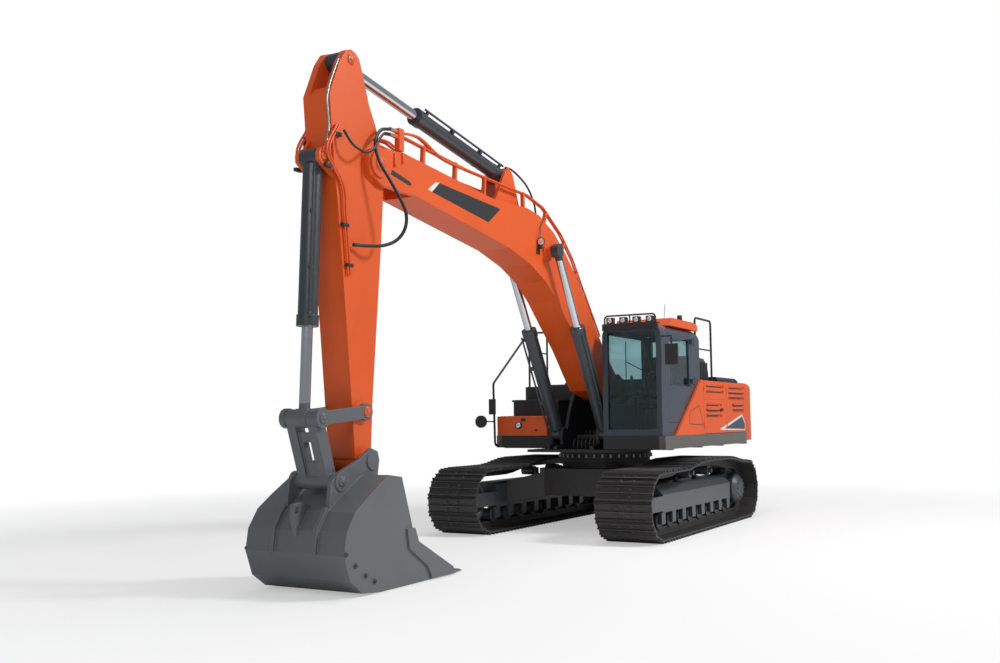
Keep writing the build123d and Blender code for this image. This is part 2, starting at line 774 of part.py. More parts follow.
# Cowl: fixed roof of the engine room, firewall and rear bulkhead
firewall_x = SWING_X - 620
hatch_front_x = firewall_x - 870
hatch_half = 1320.0
cab_back_x = SWING_X - CAB_REAR - PANEL_GAP
with BuildPart() as cowl:
    block((rear_x, firewall_x), (-panel_in + SEAT_GAP, panel_in - SEAT_GAP),
          (HOUSE_TOP - 35, HOUSE_TOP))
    block((firewall_x, cab_back_x), (cab_outer - 330, panel_in - SEAT_GAP), (HOUSE_TOP - 35, HOUSE_TOP))
    block((rear_x + 60, hatch_front_x), (-hatch_half, hatch_half), (HOUSE_TOP - 60, HOUSE_TOP + 20),
          mode=Mode.SUBTRACT)
    block((firewall_x - 30, firewall_x), (plate_out + 30, panel_in - PANEL_GAP),
          (SKIRT_TOP, HOUSE_TOP - 35))
    block((firewall_x - 30, firewall_x), (-430, -plate_out - 30), (SKIRT_TOP, HOUSE_TOP - 35))
    block((firewall_x - 30, firewall_x), (-plate_out - 30, plate_out + 30), (1950, HOUSE_TOP - 35))
    pillar_y = sorted((panel_in - SEAT_GAP, panel_in - 60))
    for pillar_x in (cab_back_x - 100, mid_line_x - 50, rear_x):
        block((pillar_x, pillar_x + 100), pillar_y, (SKIRT_TOP, HOUSE_TOP - 35))
    for pillar_x in (tank_rear_x - 100, rear_x):
        block((pillar_x, pillar_x + 100), (-panel_in + SEAT_GAP, -panel_in + 60), (SKIRT_TOP, HOUSE_TOP - 35))
cowl.part.label = "cowl"
export_step(cowl.part, "parts/cowl.step")

# Engine hood: flat hatch with turned-down edges, hinged at its rear edge
HOOD_KNUCKLE = 10.0
hood_hinge_x = rear_x + 60 + PANEL_GAP - HOOD_KNUCKLE + 2
with BuildPart() as engine_hood:
    block((rear_x + 60 + PANEL_GAP, hatch_front_x + 60), (-hatch_half - 60, hatch_half + 60),
          (HOUSE_TOP + SEAT_GAP, HOUSE_TOP + 85))
    chamfer(engine_hood.edges().filter_by(Axis.X).group_by(Axis.Z)[-1], length=45)
    for side in (1, -1):
        for lane in (hatch_half * 0.25, hatch_half * 0.75):
            drum((hood_hinge_x, HOUSE_TOP + HOOD_KNUCKLE + 2), HOOD_KNUCKLE, side * lane - 60, side * lane + 60)
engine_hood.part.label = "engine_hood"
export_step(engine_hood.part, "parts/engine_hood.step")

# Right side: tool box in front, then a lidded step box and the tank, each higher than the last
box_in = -610.0
tool_box_rear = right_front_x - 480
step_box_rear = right_front_x - 900
with BuildPart() as tool_box:
    block((tool_box_rear, right_front_x), (-HOUSE_HALF_WIDTH, box_in), (SKIRT_TOP, 1690))
    fillet(tool_box.edges().filter_by(Axis.Z).sort_by(Axis.X)[-2:], radius=30)
    fillet(tool_box.faces().sort_by(Axis.Z)[-1].edges(), radius=18)
tool_box.part.label = "tool_box"
export_step(tool_box.part, "parts/tool_box.step")

with BuildPart() as tank_steps:
    block((step_box_rear, tool_box_rear), (-HOUSE_HALF_WIDTH + 45, box_in - 40), (SKIRT_TOP, 1920))
    block((step_box_rear, tool_box_rear + 20), (-HOUSE_HALF_WIDTH + 25, box_in - 20), (1920, 1950))
    with BuildSketch(Plane.XY.offset(SKIRT_TOP)) as tank_plan:
        with Locations(((tank_rear_x + step_box_rear) / 2, (box_in - HOUSE_HALF_WIDTH) / 2)):
            Rectangle(step_box_rear - tank_rear_x, HOUSE_HALF_WIDTH + box_in)
        fillet(tank_plan.vertices().sort_by(Axis.X)[-2:].sort_by(Axis.Y)[:1], radius=110)
    extrude(tank_plan.sketch, amount=2170 - SKIRT_TOP)
tank_steps.part.label = "tank_steps"
export_step(tank_steps.part, "parts/tank_steps.step")

# Air intake box behind the cab, with its ribbed slanted rear
with BuildPart() as intake_box:
    slab(
        [
            machine(-480, HOUSE_TOP),
            machine(-480, 2600),
            machine(-1040, 2575),
            machine(-1200, 2480),
            machine(-1265, HOUSE_TOP + 130),
            machine(-1265, HOUSE_TOP),
        ],
        620,
        1280,
    )
intake_box.part.label = "intake_box"
export_step(intake_box.part, "parts/intake_box.step")

# Exhaust stack
with BuildPart() as exhaust:
    bar((SWING_X - 1350, 950, HOUSE_TOP), (SWING_X - 1350, 950, 2480), 60)
    bar((SWING_X - 1350, 950, 2500), (SWING_X - 1350, 950, 2380), 48, mode=Mode.SUBTRACT)
exhaust.part.label = "exhaust"
export_step(exhaust.part, "parts/exhaust.step")

# Cab shell: floor, rear wall, posts and roof frame, with windows and doorway cut through
cab_front_x = SWING_X + CAB_FRONT
cab_rear_x = SWING_X - CAB_REAR
cab_floor = SKIRT_TOP
door_front_x = SWING_X + DOOR_FRONT
door_rear_x = SWING_X + DOOR_REAR
slant_slope = (slant_high[1] - slant_low[1]) / (slant_high[0] - slant_low[0])


def slant_height(x, gap=0.0):
    """Height of the side panel's slanted edge at x, raised by a gap."""
    return slant_low[1] + slant_slope * (x - slant_low[0]) + gap


doorway = [
    (door_front_x, DOOR_BOTTOM),
    (door_front_x, DOOR_TOP),
    (door_rear_x, DOOR_TOP),
    (door_rear_x, slant_height(door_rear_x, 30)),
    (slant_low[0] - (DOOR_BOTTOM - slant_low[1] - 30) / -slant_slope, DOOR_BOTTOM),
]
with BuildPart() as cab_shell:
    block((cab_rear_x, cab_front_x), (CAB_INNER, cab_outer), (cab_floor, CAB_TOP))
    fillet(cab_shell.edges().filter_by(Axis.Z).group_by(Axis.X)[0], radius=90)
    fillet(cab_shell.edges().filter_by(Axis.Y).group_by(Axis.X)[0].sort_by(Axis.Z)[-1:], radius=160)
    block((cab_rear_x + CAB_WALL, cab_front_x - CAB_WALL), (CAB_INNER + CAB_WALL, cab_outer - CAB_WALL),
          (cab_floor + CAB_WALL, CAB_TOP - CAB_WALL), mode=Mode.SUBTRACT)
    # Windscreen opening, from the sill to the visor
    block((cab_front_x - 2 * CAB_WALL, cab_front_x + 1), (CAB_INNER + CAB_POST, cab_outer - CAB_POST),
          (cab_floor + 90, CAB_TOP - 95), mode=Mode.SUBTRACT)
    # Right window and rear window
    block((cab_rear_x + 230, cab_front_x - 130), (CAB_INNER - 1, CAB_INNER + 2 * CAB_WALL),
          (1850, CAB_TOP - 120), mode=Mode.SUBTRACT)
    block((cab_rear_x - 1, cab_rear_x + 2 * CAB_WALL), (CAB_INNER + 110, cab_outer - 110),
          (2200, CAB_TOP - 140), mode=Mode.SUBTRACT)
    slab(doorway, cab_outer - 2 * CAB_WALL, cab_outer + 1, mode=Mode.SUBTRACT)
cab_shell.part.label = "cab_shell"
export_step(cab_shell.part, "parts/cab_shell.step")

# Cab door: the same outline less its gap, with the upper window cut through
door_in = cab_outer - CAB_WALL + 5
door_hinge_y = HOUSE_HALF_WIDTH + DOOR_HINGE_REACH
with BuildPart() as cab_door:
    with BuildSketch(side_view(cab_outer)) as door_sheet:
        with BuildLine():
            Polyline(*doorway, close=True)
        make_face()
        offset(amount=-PANEL_GAP, kind=Kind.INTERSECTION, mode=Mode.REPLACE)
    extrude(door_sheet.sketch, amount=cab_outer - door_in)
    slab(
        [
            (door_front_x - 75, DOOR_SILL_HEIGHT),
            (door_front_x - 75, DOOR_TOP - 70),
            (door_rear_x + 75, DOOR_TOP - 70),
            (door_rear_x + 75, DOOR_SILL_HEIGHT),
        ],
        door_in - 1,
        cab_outer + 1,
        mode=Mode.SUBTRACT,
    )
    for height in (DOOR_SILL_HEIGHT + 80, DOOR_TOP - 90):
        block((door_rear_x - 5, door_rear_x + 70), (cab_outer, door_hinge_y), (height - 40, height + 40))
        bar((door_rear_x - 5, door_hinge_y, height - 60), (door_rear_x - 5, door_hinge_y, height + 60), 14)
cab_door.part.label = "cab_door"
export_step(cab_door.part, "parts/cab_door.step")

with BuildPart() as door_glass:
    glass_y = (door_in + cab_outer) / 2
    block((door_rear_x + 75, door_front_x - 75), (glass_y, glass_y + GLASS_THICKNESS),
          (DOOR_SILL_HEIGHT, DOOR_TOP - 70))
door_glass.part.label = "door_glass"
export_step(door_glass.part, "parts/door_glass.step")

# Cab roof cap over the rear of the cab
with BuildPart() as cab_roof:
    slab(
        [
            (cab_rear_x + 60, CAB_TOP),
            (cab_rear_x + 90, CAB_TOP + ROOF_CAP - 25),
            (cab_rear_x + 300, CAB_TOP + ROOF_CAP),
            (cab_front_x - 520, CAB_TOP + ROOF_CAP),
            (cab_front_x - 440, CAB_TOP),
        ],
        CAB_INNER + 20,
        cab_outer - 20,
    )
cab_roof.part.label = "cab_roof"
export_step(cab_roof.part, "parts/cab_roof.step")

# Window glass: two-piece windscreen, right window and rear window
screen_split = 1945.0
with BuildPart() as cab_glass:
    screen = (cab_front_x - 40, cab_front_x - 40 + GLASS_THICKNESS)
    span = (CAB_INNER + CAB_POST, cab_outer - CAB_POST)
    block(screen, span, (cab_floor + 90, screen_split - 4))
    block(screen, span, (screen_split + 4, CAB_TOP - 95))
    block((cab_rear_x + 230, cab_front_x - 130), (CAB_INNER + 20, CAB_INNER + 20 + GLASS_THICKNESS),
          (1850, CAB_TOP - 120))
    block((cab_rear_x + 20, cab_rear_x + 20 + GLASS_THICKNESS), (CAB_INNER + 110, cab_outer - 110),
          (2200, CAB_TOP - 140))
cab_glass.part.label = "cab_glass"
export_step(cab_glass.part, "parts/cab_glass.step")

# Operator's seat with its consoles
seat_x = SWING_X + 330
seat_y = (CAB_INNER + cab_outer) / 2
seat_floor = cab_floor + CAB_WALL
with BuildPart() as seat:
    block((seat_x - 200, seat_x + 180), (seat_y - 150, seat_y + 150), (seat_floor, seat_floor + 330))
    block((seat_x - 260, seat_x + 260), (seat_y - 250, seat_y + 250), (seat_floor + 330, seat_floor + 460))
    slab(
        [
            (seat_x - 250, seat_floor + 430),
            (seat_x - 130, seat_floor + 430),
            (seat_x - 210, seat_floor + 1080),
            (seat_x - 310, seat_floor + 1080),
        ],
        seat_y - 240,
        seat_y + 240,
    )
    for side in (1, -1):
        block((seat_x - 200, seat_x + 330),
              sorted((seat_y + side * 250, seat_y + side * 350)),
              (seat_floor + 380, seat_floor + 620))
seat.part.label = "seat"
export_step(seat.part, "parts/seat.step")

# Work lamps and tubular guard over the windscreen
lamp_count = 4
LAMP_MARGIN = 115.0
GUARD_HEIGHT = 135.0
with BuildPart() as roof_lamps:
    rail_y = (CAB_INNER + 30, cab_outer - 30)
    block((cab_front_x - 60, cab_front_x + 60), rail_y, (CAB_TOP, CAB_TOP + 20))
    block((cab_front_x, cab_front_x + 60), rail_y, (CAB_TOP - 75, CAB_TOP))
    lamp_pitch = (rail_y[1] - rail_y[0] - 2 * LAMP_MARGIN) / (lamp_count - 1)
    for index in range(lamp_count):
        lamp_y = rail_y[0] + LAMP_MARGIN + index * lamp_pitch
        block((cab_front_x - 30, cab_front_x + 55), (lamp_y - 50, lamp_y + 50),
              (CAB_TOP + 20, CAB_TOP + 108))
    bent_bar(
        [
            (cab_front_x + 30, rail_y[0] + 30, CAB_TOP + 20),
            (cab_front_x + 30, rail_y[0] + 30, CAB_TOP + GUARD_HEIGHT),
            (cab_front_x + 30, rail_y[1] - 30, CAB_TOP + GUARD_HEIGHT),
            (cab_front_x + 30, rail_y[1] - 30, CAB_TOP + 20),
        ],
        12,
        50,
    )
    guard_y = (rail_y[0] + rail_y[1]) / 2
    bar((cab_front_x + 30, guard_y, CAB_TOP + 20), (cab_front_x + 30, guard_y, CAB_TOP + GUARD_HEIGHT), 10)
roof_lamps.part.label = "roof_lamps"
export_step(roof_lamps.part, "parts/roof_lamps.step")

# Handrails: rear of the cab on the left, front corner and boxes on the right
RAIL_RADIUS = 17.0
with BuildPart() as handrails:
    left_rail_y = 1310.0
    bent_bar(
        [
            (SWING_X - 560, left_rail_y, HOUSE_TOP),
            (SWING_X - 560, left_rail_y, 3200),
            (SWING_X - 1340, left_rail_y, 3200),
            (SWING_X - 1340, left_rail_y, HOUSE_TOP),
        ],
        RAIL_RADIUS,
        70,
    )
    right_rail_y = -HOUSE_HALF_WIDTH + 22
    rail_post_x = right_front_x + 112
    bent_bar(
        [
            (right_front_x, right_rail_y, SKIRT_BOTTOM + 30),
            (rail_post_x - 20, right_rail_y, SKIRT_BOTTOM + 30),
            (rail_post_x + 23, right_rail_y, 2200),
            (SWING_X - 270, right_rail_y, 3080),
            (SWING_X - 950, right_rail_y, 3130),
            (SWING_X - 950, right_rail_y, 2170),
        ],
        RAIL_RADIUS,
        70,
    )
    bar((SWING_X - 290, right_rail_y, 2170), (SWING_X - 290, right_rail_y, 3075), RAIL_RADIUS)
    for height in (2460, 2760):
        bar((SWING_X - 950, right_rail_y, height), (SWING_X - 290, right_rail_y, height), 12)
    # Inner loop and cross bar of the rail behind the cab
    bar((SWING_X - 560, left_rail_y, 2720), (SWING_X - 1340, left_rail_y, 2720), 12)
handrails.part.label = "handrails"
export_step(handrails.part, "parts/handrails.step")

# Mirrors: one on an arm at the cab's front post, one round on the right handrail
with BuildPart() as mirrors:
    bar((cab_front_x - 20, cab_outer, 2780), (cab_front_x - 20, 1600, 2780), 12)
    bar((cab_front_x - 20, 1600, 2792), (cab_front_x - 20, 1600, 2660), 12)
    block((cab_front_x - 45, cab_front_x + 5), (1510, 1690), (2380, 2670))
    round_mirror = (rail_post_x + 165, right_rail_y - 130, 1611)
    bar((rail_post_x + 11.2, right_rail_y - 10.2, 1611), round_mirror, 10)
    bar(round_mirror, (round_mirror[0] + 40, round_mirror[1], round_mirror[2]), 95)
    bar((rail_post_x + 24.8, right_rail_y, 1840), (rail_post_x + 40, right_rail_y, 1840), 10)
    block((rail_post_x + 36, rail_post_x + 66), (right_rail_y - 60, right_rail_y + 50), (1720, 1960))
mirrors.part.label = "mirrors"
export_step(mirrors.part, "parts/mirrors.step")

# Boom: box section between its foot boss and the fork that holds the arm
boom_top = [
    (420, 2600),
    (780, 2960),
    (1084, 3340),
    (1423, 3655),
    (1811, 3985),
    (2186, 4235),
    (2608, 4395),
    (2950, 4440),
    (3880, 4400),
    (5830, 4545),
]
boom_outline = [
    machine(-60, 2010),
    machine(330, 1950),
    machine(770, 2060),
    machine(1350, 2650),
    machine(1740, 2975),
    machine(2110, 3290),
    machine(2440, 3515),
    machine(2880, 3690),
    machine(3470, 3835),
    machine(5580, 4110),
    machine(6240, 4110),
    machine(6450, 4200),
    machine(6500, 4330),
    machine(6440, 4460),
    machine(6270, 4510),
]
boom_outline += [machine(*point) for point in reversed(boom_top)]
boom_outline.append(machine(60, 2300))
boom_foot_half = MAIN_PLATE_INSIDE - PIN_GAP
boom_ear_inside = ARM_BARREL_RADIUS + 6
with BuildPart() as boom:
    slab(boom_outline, -BOOM_HALF_WIDTH, BOOM_HALF_WIDTH)
    drum(machine(*BOOM_FOOT), 170, -boom_foot_half, boom_foot_half)
    drum(machine(*ARM_PIN), BOOM_FORK_DEPTH, -ARM_HALF_WIDTH - FLANGE_GAP, ARM_HALF_WIDTH + FLANGE_GAP,
         mode=Mode.SUBTRACT)
    head_stub = BOOM_CYLINDER_LANE - boom_eye_half - PIN_GAP
    drum(machine(*BOOM_CYLINDER_HEAD), 130, -BOOM_HALF_WIDTH - 30, BOOM_HALF_WIDTH + 30)
    drum(machine(*BOOM_CYLINDER_HEAD), EYE_RADIUS - 15, -head_stub, head_stub)
    drum(machine(*BOOM_FOOT), PIN_RADIUS + RUNNING_GAP, -boom_foot_half - 1, boom_foot_half + 1,
         mode=Mode.SUBTRACT)
    drum(machine(*ARM_PIN), PIN_RADIUS, -BOOM_HALF_WIDTH, BOOM_HALF_WIDTH)
    drum(machine(*ARM_CYLINDER_FOOT), PIN_RADIUS, -boom_ear_inside, boom_ear_inside)
    for side in (1, -1):
        drum(machine(*ARM_PIN), 150, *sorted((side * BOOM_HALF_WIDTH, side * (BOOM_HALF_WIDTH + 25))))
        low, high = sorted((side * boom_ear_inside, side * (boom_ear_inside + EAR_THICKNESS)))
        slab(
            [
                machine(3000, 4380),
                machine(3200, 4850),
                machine(3300, 4930),
                machine(3390, 4860),
                machine(3700, 4380),
            ],
            low,
            high,
        )
boom.part.label = "boom"
export_step(boom.part, "parts/boom.step")

# Hydraulic pipes clamped along the top of the boom
PIPE_RADIUS = 13.0
PIPE_LANES = (190.0, 222.0)
CLAMP_THICKNESS = 40.0
pipe_route = [
    (640, 2880),
    (1290, 3620),
    (1560, 3935),
    (1930, 4240),
    (2480, 4530),
    (2950, 4620),
    (4500, 4640),
    (5900, 4730),
    (6130, 4690),
]


def clamp_place(run, share):
    """Foot of a pipe clamp on the boom's top and its head at the pipes."""
    foot = between(boom_top[run], boom_top[run + 1], share)
    lean = math.atan2(boom_top[run + 1][1] - boom_top[run][1], boom_top[run + 1][0] - boom_top[run][0])
    return foot, lean


clamp_places = [
    clamp_place(1, 0.3),
    clamp_place(3, 0.1),
    clamp_place(4, 0.2),
    clamp_place(5, 0.6),
    clamp_place(7, 0.1),
    clamp_place(8, 0.1),
    clamp_place(8, 0.45),
    clamp_place(8, 0.8),
]


def pipe_height(foot, lean):
    """Distance from a clamp's foot to the pipes, square to the boom's top."""
    best = None
    for start, end in zip(pipe_route[:-1], pipe_route[1:]):
        step_x, step_z = end[0] - start[0], end[1] - start[1]
        cross = math.cos(lean) * step_x + math.sin(lean) * step_z
        share = (math.cos(lean) * (foot[0] - start[0]) + math.sin(lean) * (foot[1] - start[1])) / cross
        if 0 <= share <= 1:
            x, z = between(start, end, share)
            best = math.dist((x, z), foot)
    return best


with BuildPart() as boom_pipes:
    for side in (1, -1):
        for lane in PIPE_LANES:
            bent_bar([(SWING_X + x, side * lane, z) for x, z in pipe_route], PIPE_RADIUS, 90)
        for foot, lean in clamp_places:
            x, z = machine(*foot)
            upright = Plane(
                origin=(x, side * (PIPE_LANES[0] + PIPE_LANES[1]) / 2, z),
                x_dir=(math.cos(lean), 0, math.sin(lean)),
                z_dir=(-math.sin(lean), 0, math.cos(lean)),
            )
            with BuildSketch(upright) as clamp_foot:
                with Locations((0, 0)):
                    Rectangle(CLAMP_THICKNESS, PIPE_LANES[1] - PIPE_LANES[0] + PIPE_RADIUS)
            extrude(clamp_foot.sketch, amount=pipe_height(foot, lean) + PIPE_RADIUS + 8)
boom_pipes.part.label = "boom_pipes"
export_step(boom_pipes.part, "parts/boom_pipes.step")


def along(start, end, length):
    """Point at a length from start towards end in the side view."""
    return between(start, end, length / math.dist(start, end))


def side_bar(start, end, y, radius, mode=Mode.ADD):
    """Round bar in a side-view plane, between two points given from the swing axis."""
    start_x, start_z = machine(*start)
    end_x, end_z = machine(*end)
    bar((start_x, y, start_z), (end_x, y, end_z), radius, mode=mode)


def build_barrel(foot, head, y, radii, barrel_length, eye_half):
    """Cylinder barrel with its foot eye and gland, bored for the rod."""
    barrel_radius, rod_radius = radii
    gland = along(foot, head, barrel_length)
    neck = along(foot, head, EYE_RADIUS - 20)
    shoulder = along(foot, head, EYE_RADIUS + 15)
    side_bar(neck, shoulder, y, min(eye_half, barrel_radius) - 5)
    side_bar(shoulder, gland, y, barrel_radius)
    side_bar(along(foot, head, barrel_length - GLAND_LENGTH), gland, y, barrel_radius + GLAND_STEP)
    drum(machine(*foot), EYE_RADIUS, y - eye_half, y + eye_half)
    drum(machine(*foot), PIN_RADIUS + RUNNING_GAP, y - eye_half - 1, y + eye_half + 1, mode=Mode.SUBTRACT)
    bore_start = along(foot, head, BORE_BOTTOM)
    bore_end = along(foot, head, barrel_length + 5)
    side_bar(bore_start, bore_end, y, rod_radius + RUNNING_GAP, mode=Mode.SUBTRACT)


def build_rod(foot, head, y, rod_radius, eye_half, retraction):
    """Piston rod with its head eye; its inner end can still move in by the retraction."""
    side_bar(along(foot, head, BORE_BOTTOM + 5 + retraction), head, y, rod_radius)
    drum(machine(*head), EYE_RADIUS, y - eye_half, y + eye_half)


# Boom cylinders, one on each side of the boom
with BuildPart() as boom_barrel_left:
    build_barrel(BOOM_CYLINDER_FOOT, BOOM_CYLINDER_HEAD, BOOM_CYLINDER_LANE,
                 (BOOM_BARREL_RADIUS, BOOM_ROD_RADIUS), BOOM_BARREL_LENGTH, boom_eye_half)
boom_barrel_left.part.label = "boom_barrel_left"
export_step(boom_barrel_left.part, "parts/boom_barrel_left.step")

with BuildPart() as boom_barrel_right:
    mirror(boom_barrel_left.part, about=Plane.XZ)
boom_barrel_right.part.label = "boom_barrel_right"
export_step(boom_barrel_right.part, "parts/boom_barrel_right.step")

with BuildPart() as boom_rod_left:
    build_rod(BOOM_CYLINDER_FOOT, BOOM_CYLINDER_HEAD, BOOM_CYLINDER_LANE, BOOM_ROD_RADIUS,
              boom_eye_half, BOOM_RETRACTION)
boom_rod_left.part.label = "boom_rod_left"
export_step(boom_rod_left.part, "parts/boom_rod_left.step")

with BuildPart() as boom_rod_right:
    mirror(boom_rod_left.part, about=Plane.XZ)
boom_rod_right.part.label = "boom_rod_right"
export_step(boom_rod_right.part, "parts/boom_rod_right.step")

# Arm: box section with ears for its own cylinder at the top and lugs for the bucket cylinder
arm_outline = [
    machine(6560, 5060),
    machine(6395, 4950),
    machine(6265, 4720),
    machine(6145, 4440),
    machine(6130, 4170),
    machine(6182, 3450),
    machine(6325, 1880),
    machine(6355, 1300),
    machine(6400, 1170),
    machine(6560, 1170),
    machine(6620, 1270),
    machine(6660, 1680),
    machine(6760, 2570),
    machine(6900, 3750),
    machine(6975, 4250),
    machine(7045, 4900),
    machine(6950, 5000),
]
arm_ear_inside = 95.0
arm_boss_half = ARM_HALF_WIDTH + FLANGE_GAP - PIN_GAP
side_link_out = SIDE_LINK_INSIDE + SIDE_LINK_THICKNESS
bucket_lug_inside = BUCKET_BARREL_RADIUS + 8
with BuildPart() as arm:
    slab(arm_outline, -ARM_HALF_WIDTH, ARM_HALF_WIDTH)
    drum(machine(*BUCKET_PIN), 125, -ARM_HALF_WIDTH, ARM_HALF_WIDTH)
    drum(machine(*BUCKET_PIN), 92, -ARM_NOSE_HALF_WIDTH, ARM_NOSE_HALF_WIDTH)
    drum(machine(*ARM_PIN), 190, -arm_boss_half, arm_boss_half)
    drum(machine(*SIDE_LINK_PIN), 105, -SIDE_LINK_INSIDE + PIN_GAP, SIDE_LINK_INSIDE - PIN_GAP)
    drum(machine(*SIDE_LINK_PIN), PIN_RADIUS, -side_link_out, side_link_out)
    drum(machine(*BUCKET_CYLINDER_FOOT), PIN_RADIUS, -bucket_lug_inside, bucket_lug_inside)
    for pin in (ARM_PIN, BUCKET_PIN):
        drum(machine(*pin), PIN_RADIUS + RUNNING_GAP, -BUCKET_HALF_WIDTH, BUCKET_HALF_WIDTH,
             mode=Mode.SUBTRACT)
    for side in (1, -1):
        low, high = sorted((side * arm_ear_inside, side * ARM_HALF_WIDTH))
        slab(
            [
                machine(6395, 4950),
                machine(6510, 5260),
                machine(6560, 5380),
                machine(6620, 5430),
                machine(6700, 5450),
                machine(6780, 5420),
                machine(6880, 5280),
                machine(7045, 4900),
            ],
            low,
            high,
        )
        low, high = sorted((side * bucket_lug_inside, side * (bucket_lug_inside + EAR_THICKNESS)))
        slab(
            [
                machine(6960, 4520),
                machine(7080, 4355),
                machine(7150, 4330),
                machine(7185, 4270),
                machine(7180, 4200),
                machine(7110, 4150),
                machine(6925, 4060),
            ],
            low,
            high,
        )
arm.part.label = "arm"
export_step(arm.part, "parts/arm.step")

# Arm cylinder on top of the boom
arm_eye_half = arm_ear_inside - PIN_GAP
with BuildPart() as arm_barrel:
    build_barrel(ARM_CYLINDER_FOOT, ARM_CYLINDER_HEAD, 0, (ARM_BARREL_RADIUS, ARM_ROD_RADIUS),
                 ARM_BARREL_LENGTH, arm_eye_half)
arm_barrel.part.label = "arm_barrel"
export_step(arm_barrel.part, "parts/arm_barrel.step")

with BuildPart() as arm_rod:
    build_rod(ARM_CYLINDER_FOOT, ARM_CYLINDER_HEAD, 0, ARM_ROD_RADIUS, arm_eye_half, ARM_RETRACTION)
arm_rod.part.label = "arm_rod"
export_step(arm_rod.part, "parts/arm_rod.step")

# Bucket cylinder in front of the arm
bucket_foot_half = bucket_lug_inside - PIN_GAP
with BuildPart() as bucket_barrel:
    build_barrel(BUCKET_CYLINDER_FOOT, LINK_PIN, 0, (BUCKET_BARREL_RADIUS, BUCKET_ROD_RADIUS),
                 BUCKET_BARREL_LENGTH, bucket_foot_half)
bucket_barrel.part.label = "bucket_barrel"
export_step(bucket_barrel.part, "parts/bucket_barrel.step")

link_arm_inside = 80.0
with BuildPart() as bucket_rod:
    build_rod(BUCKET_CYLINDER_FOOT, LINK_PIN, 0, BUCKET_ROD_RADIUS, link_arm_inside - PIN_GAP,
              BUCKET_RETRACTION)
bucket_rod.part.label = "bucket_rod"
export_step(bucket_rod.part, "parts/bucket_rod.step")

# Side links: a pair of bars from the arm to the bucket cylinder's pin
with BuildPart() as side_links:
    for side in (1, -1):
        low, high = sorted((side * SIDE_LINK_INSIDE, side * side_link_out))
        slab(
            [
                machine(SIDE_LINK_PIN[0], SIDE_LINK_PIN[1] + 65),
                machine(SIDE_LINK_PIN[0], SIDE_LINK_PIN[1] - 65),
                machine(LINK_PIN[0], LINK_PIN[1] - 65),
                machine(LINK_PIN[0], LINK_PIN[1] + 65),
            ],
            low,
            high,
        )
        for centre, radius in ((SIDE_LINK_PIN, 88), (LINK_PIN, 98)):
            drum(machine(*centre), radius, low, high)
    drum(machine(*SIDE_LINK_PIN), PIN_RADIUS + RUNNING_GAP, -side_link_out - 1, side_link_out + 1,
         mode=Mode.SUBTRACT)
side_links.part.label = "side_links"
export_step(side_links.part, "parts/side_links.step")

# Bucket link: forked bar from the cylinder's pin to the bucket
ear_inside = ARM_NOSE_HALF_WIDTH + PIN_GAP
with BuildPart() as bucket_link:
    drum(machine(*BUCKET_LINK_PIN), 80, -ear_inside + PIN_GAP, ear_inside - PIN_GAP)
    for side in (1, -1):
        low, high = sorted((side * link_arm_inside, side * (SIDE_LINK_INSIDE - PIN_GAP)))
        slab(
            [
                machine(BUCKET_LINK_PIN[0] - 72, BUCKET_LINK_PIN[1]),
                machine(BUCKET_LINK_PIN[0] + 72, BUCKET_LINK_PIN[1]),
                machine(LINK_PIN[0] + 75, LINK_PIN[1]),
                machine(LINK_PIN[0] - 72, LINK_PIN[1]),
            ],
            low,
            high,
        )
        drum(machine(*LINK_PIN), 88, low, high)
    web_end = between(BUCKET_LINK_PIN, LINK_PIN, 0.78)
    slab(
        [
            machine(BUCKET_LINK_PIN[0] - 42, BUCKET_LINK_PIN[1]),
            machine(BUCKET_LINK_PIN[0] + 42, BUCKET_LINK_PIN[1]),
            machine(web_end[0] + 40, web_end[1]),
            machine(web_end[0] - 44, web_end[1]),
        ],
        -link_arm_inside,
        link_arm_inside,
    )
    window_low = between(BUCKET_LINK_PIN, LINK_PIN, 0.28)
    window_high = between(BUCKET_LINK_PIN, LINK_PIN, 0.62)
    slab(
        [
            machine(window_low[0] - 90, window_low[1]),
            machine(window_low[0] + 90, window_low[1]),
            machine(window_high[0] + 90, window_high[1]),
            machine(window_high[0] - 90, window_high[1]),
        ],
        -45,
        45,
        mode=Mode.SUBTRACT,
    )
    drum(machine(*BUCKET_LINK_PIN), PIN_RADIUS + RUNNING_GAP, -ear_inside - 1, ear_inside + 1,
         mode=Mode.SUBTRACT)
bucket_link.part.label = "bucket_link"
export_step(bucket_link.part, "parts/bucket_link.step")

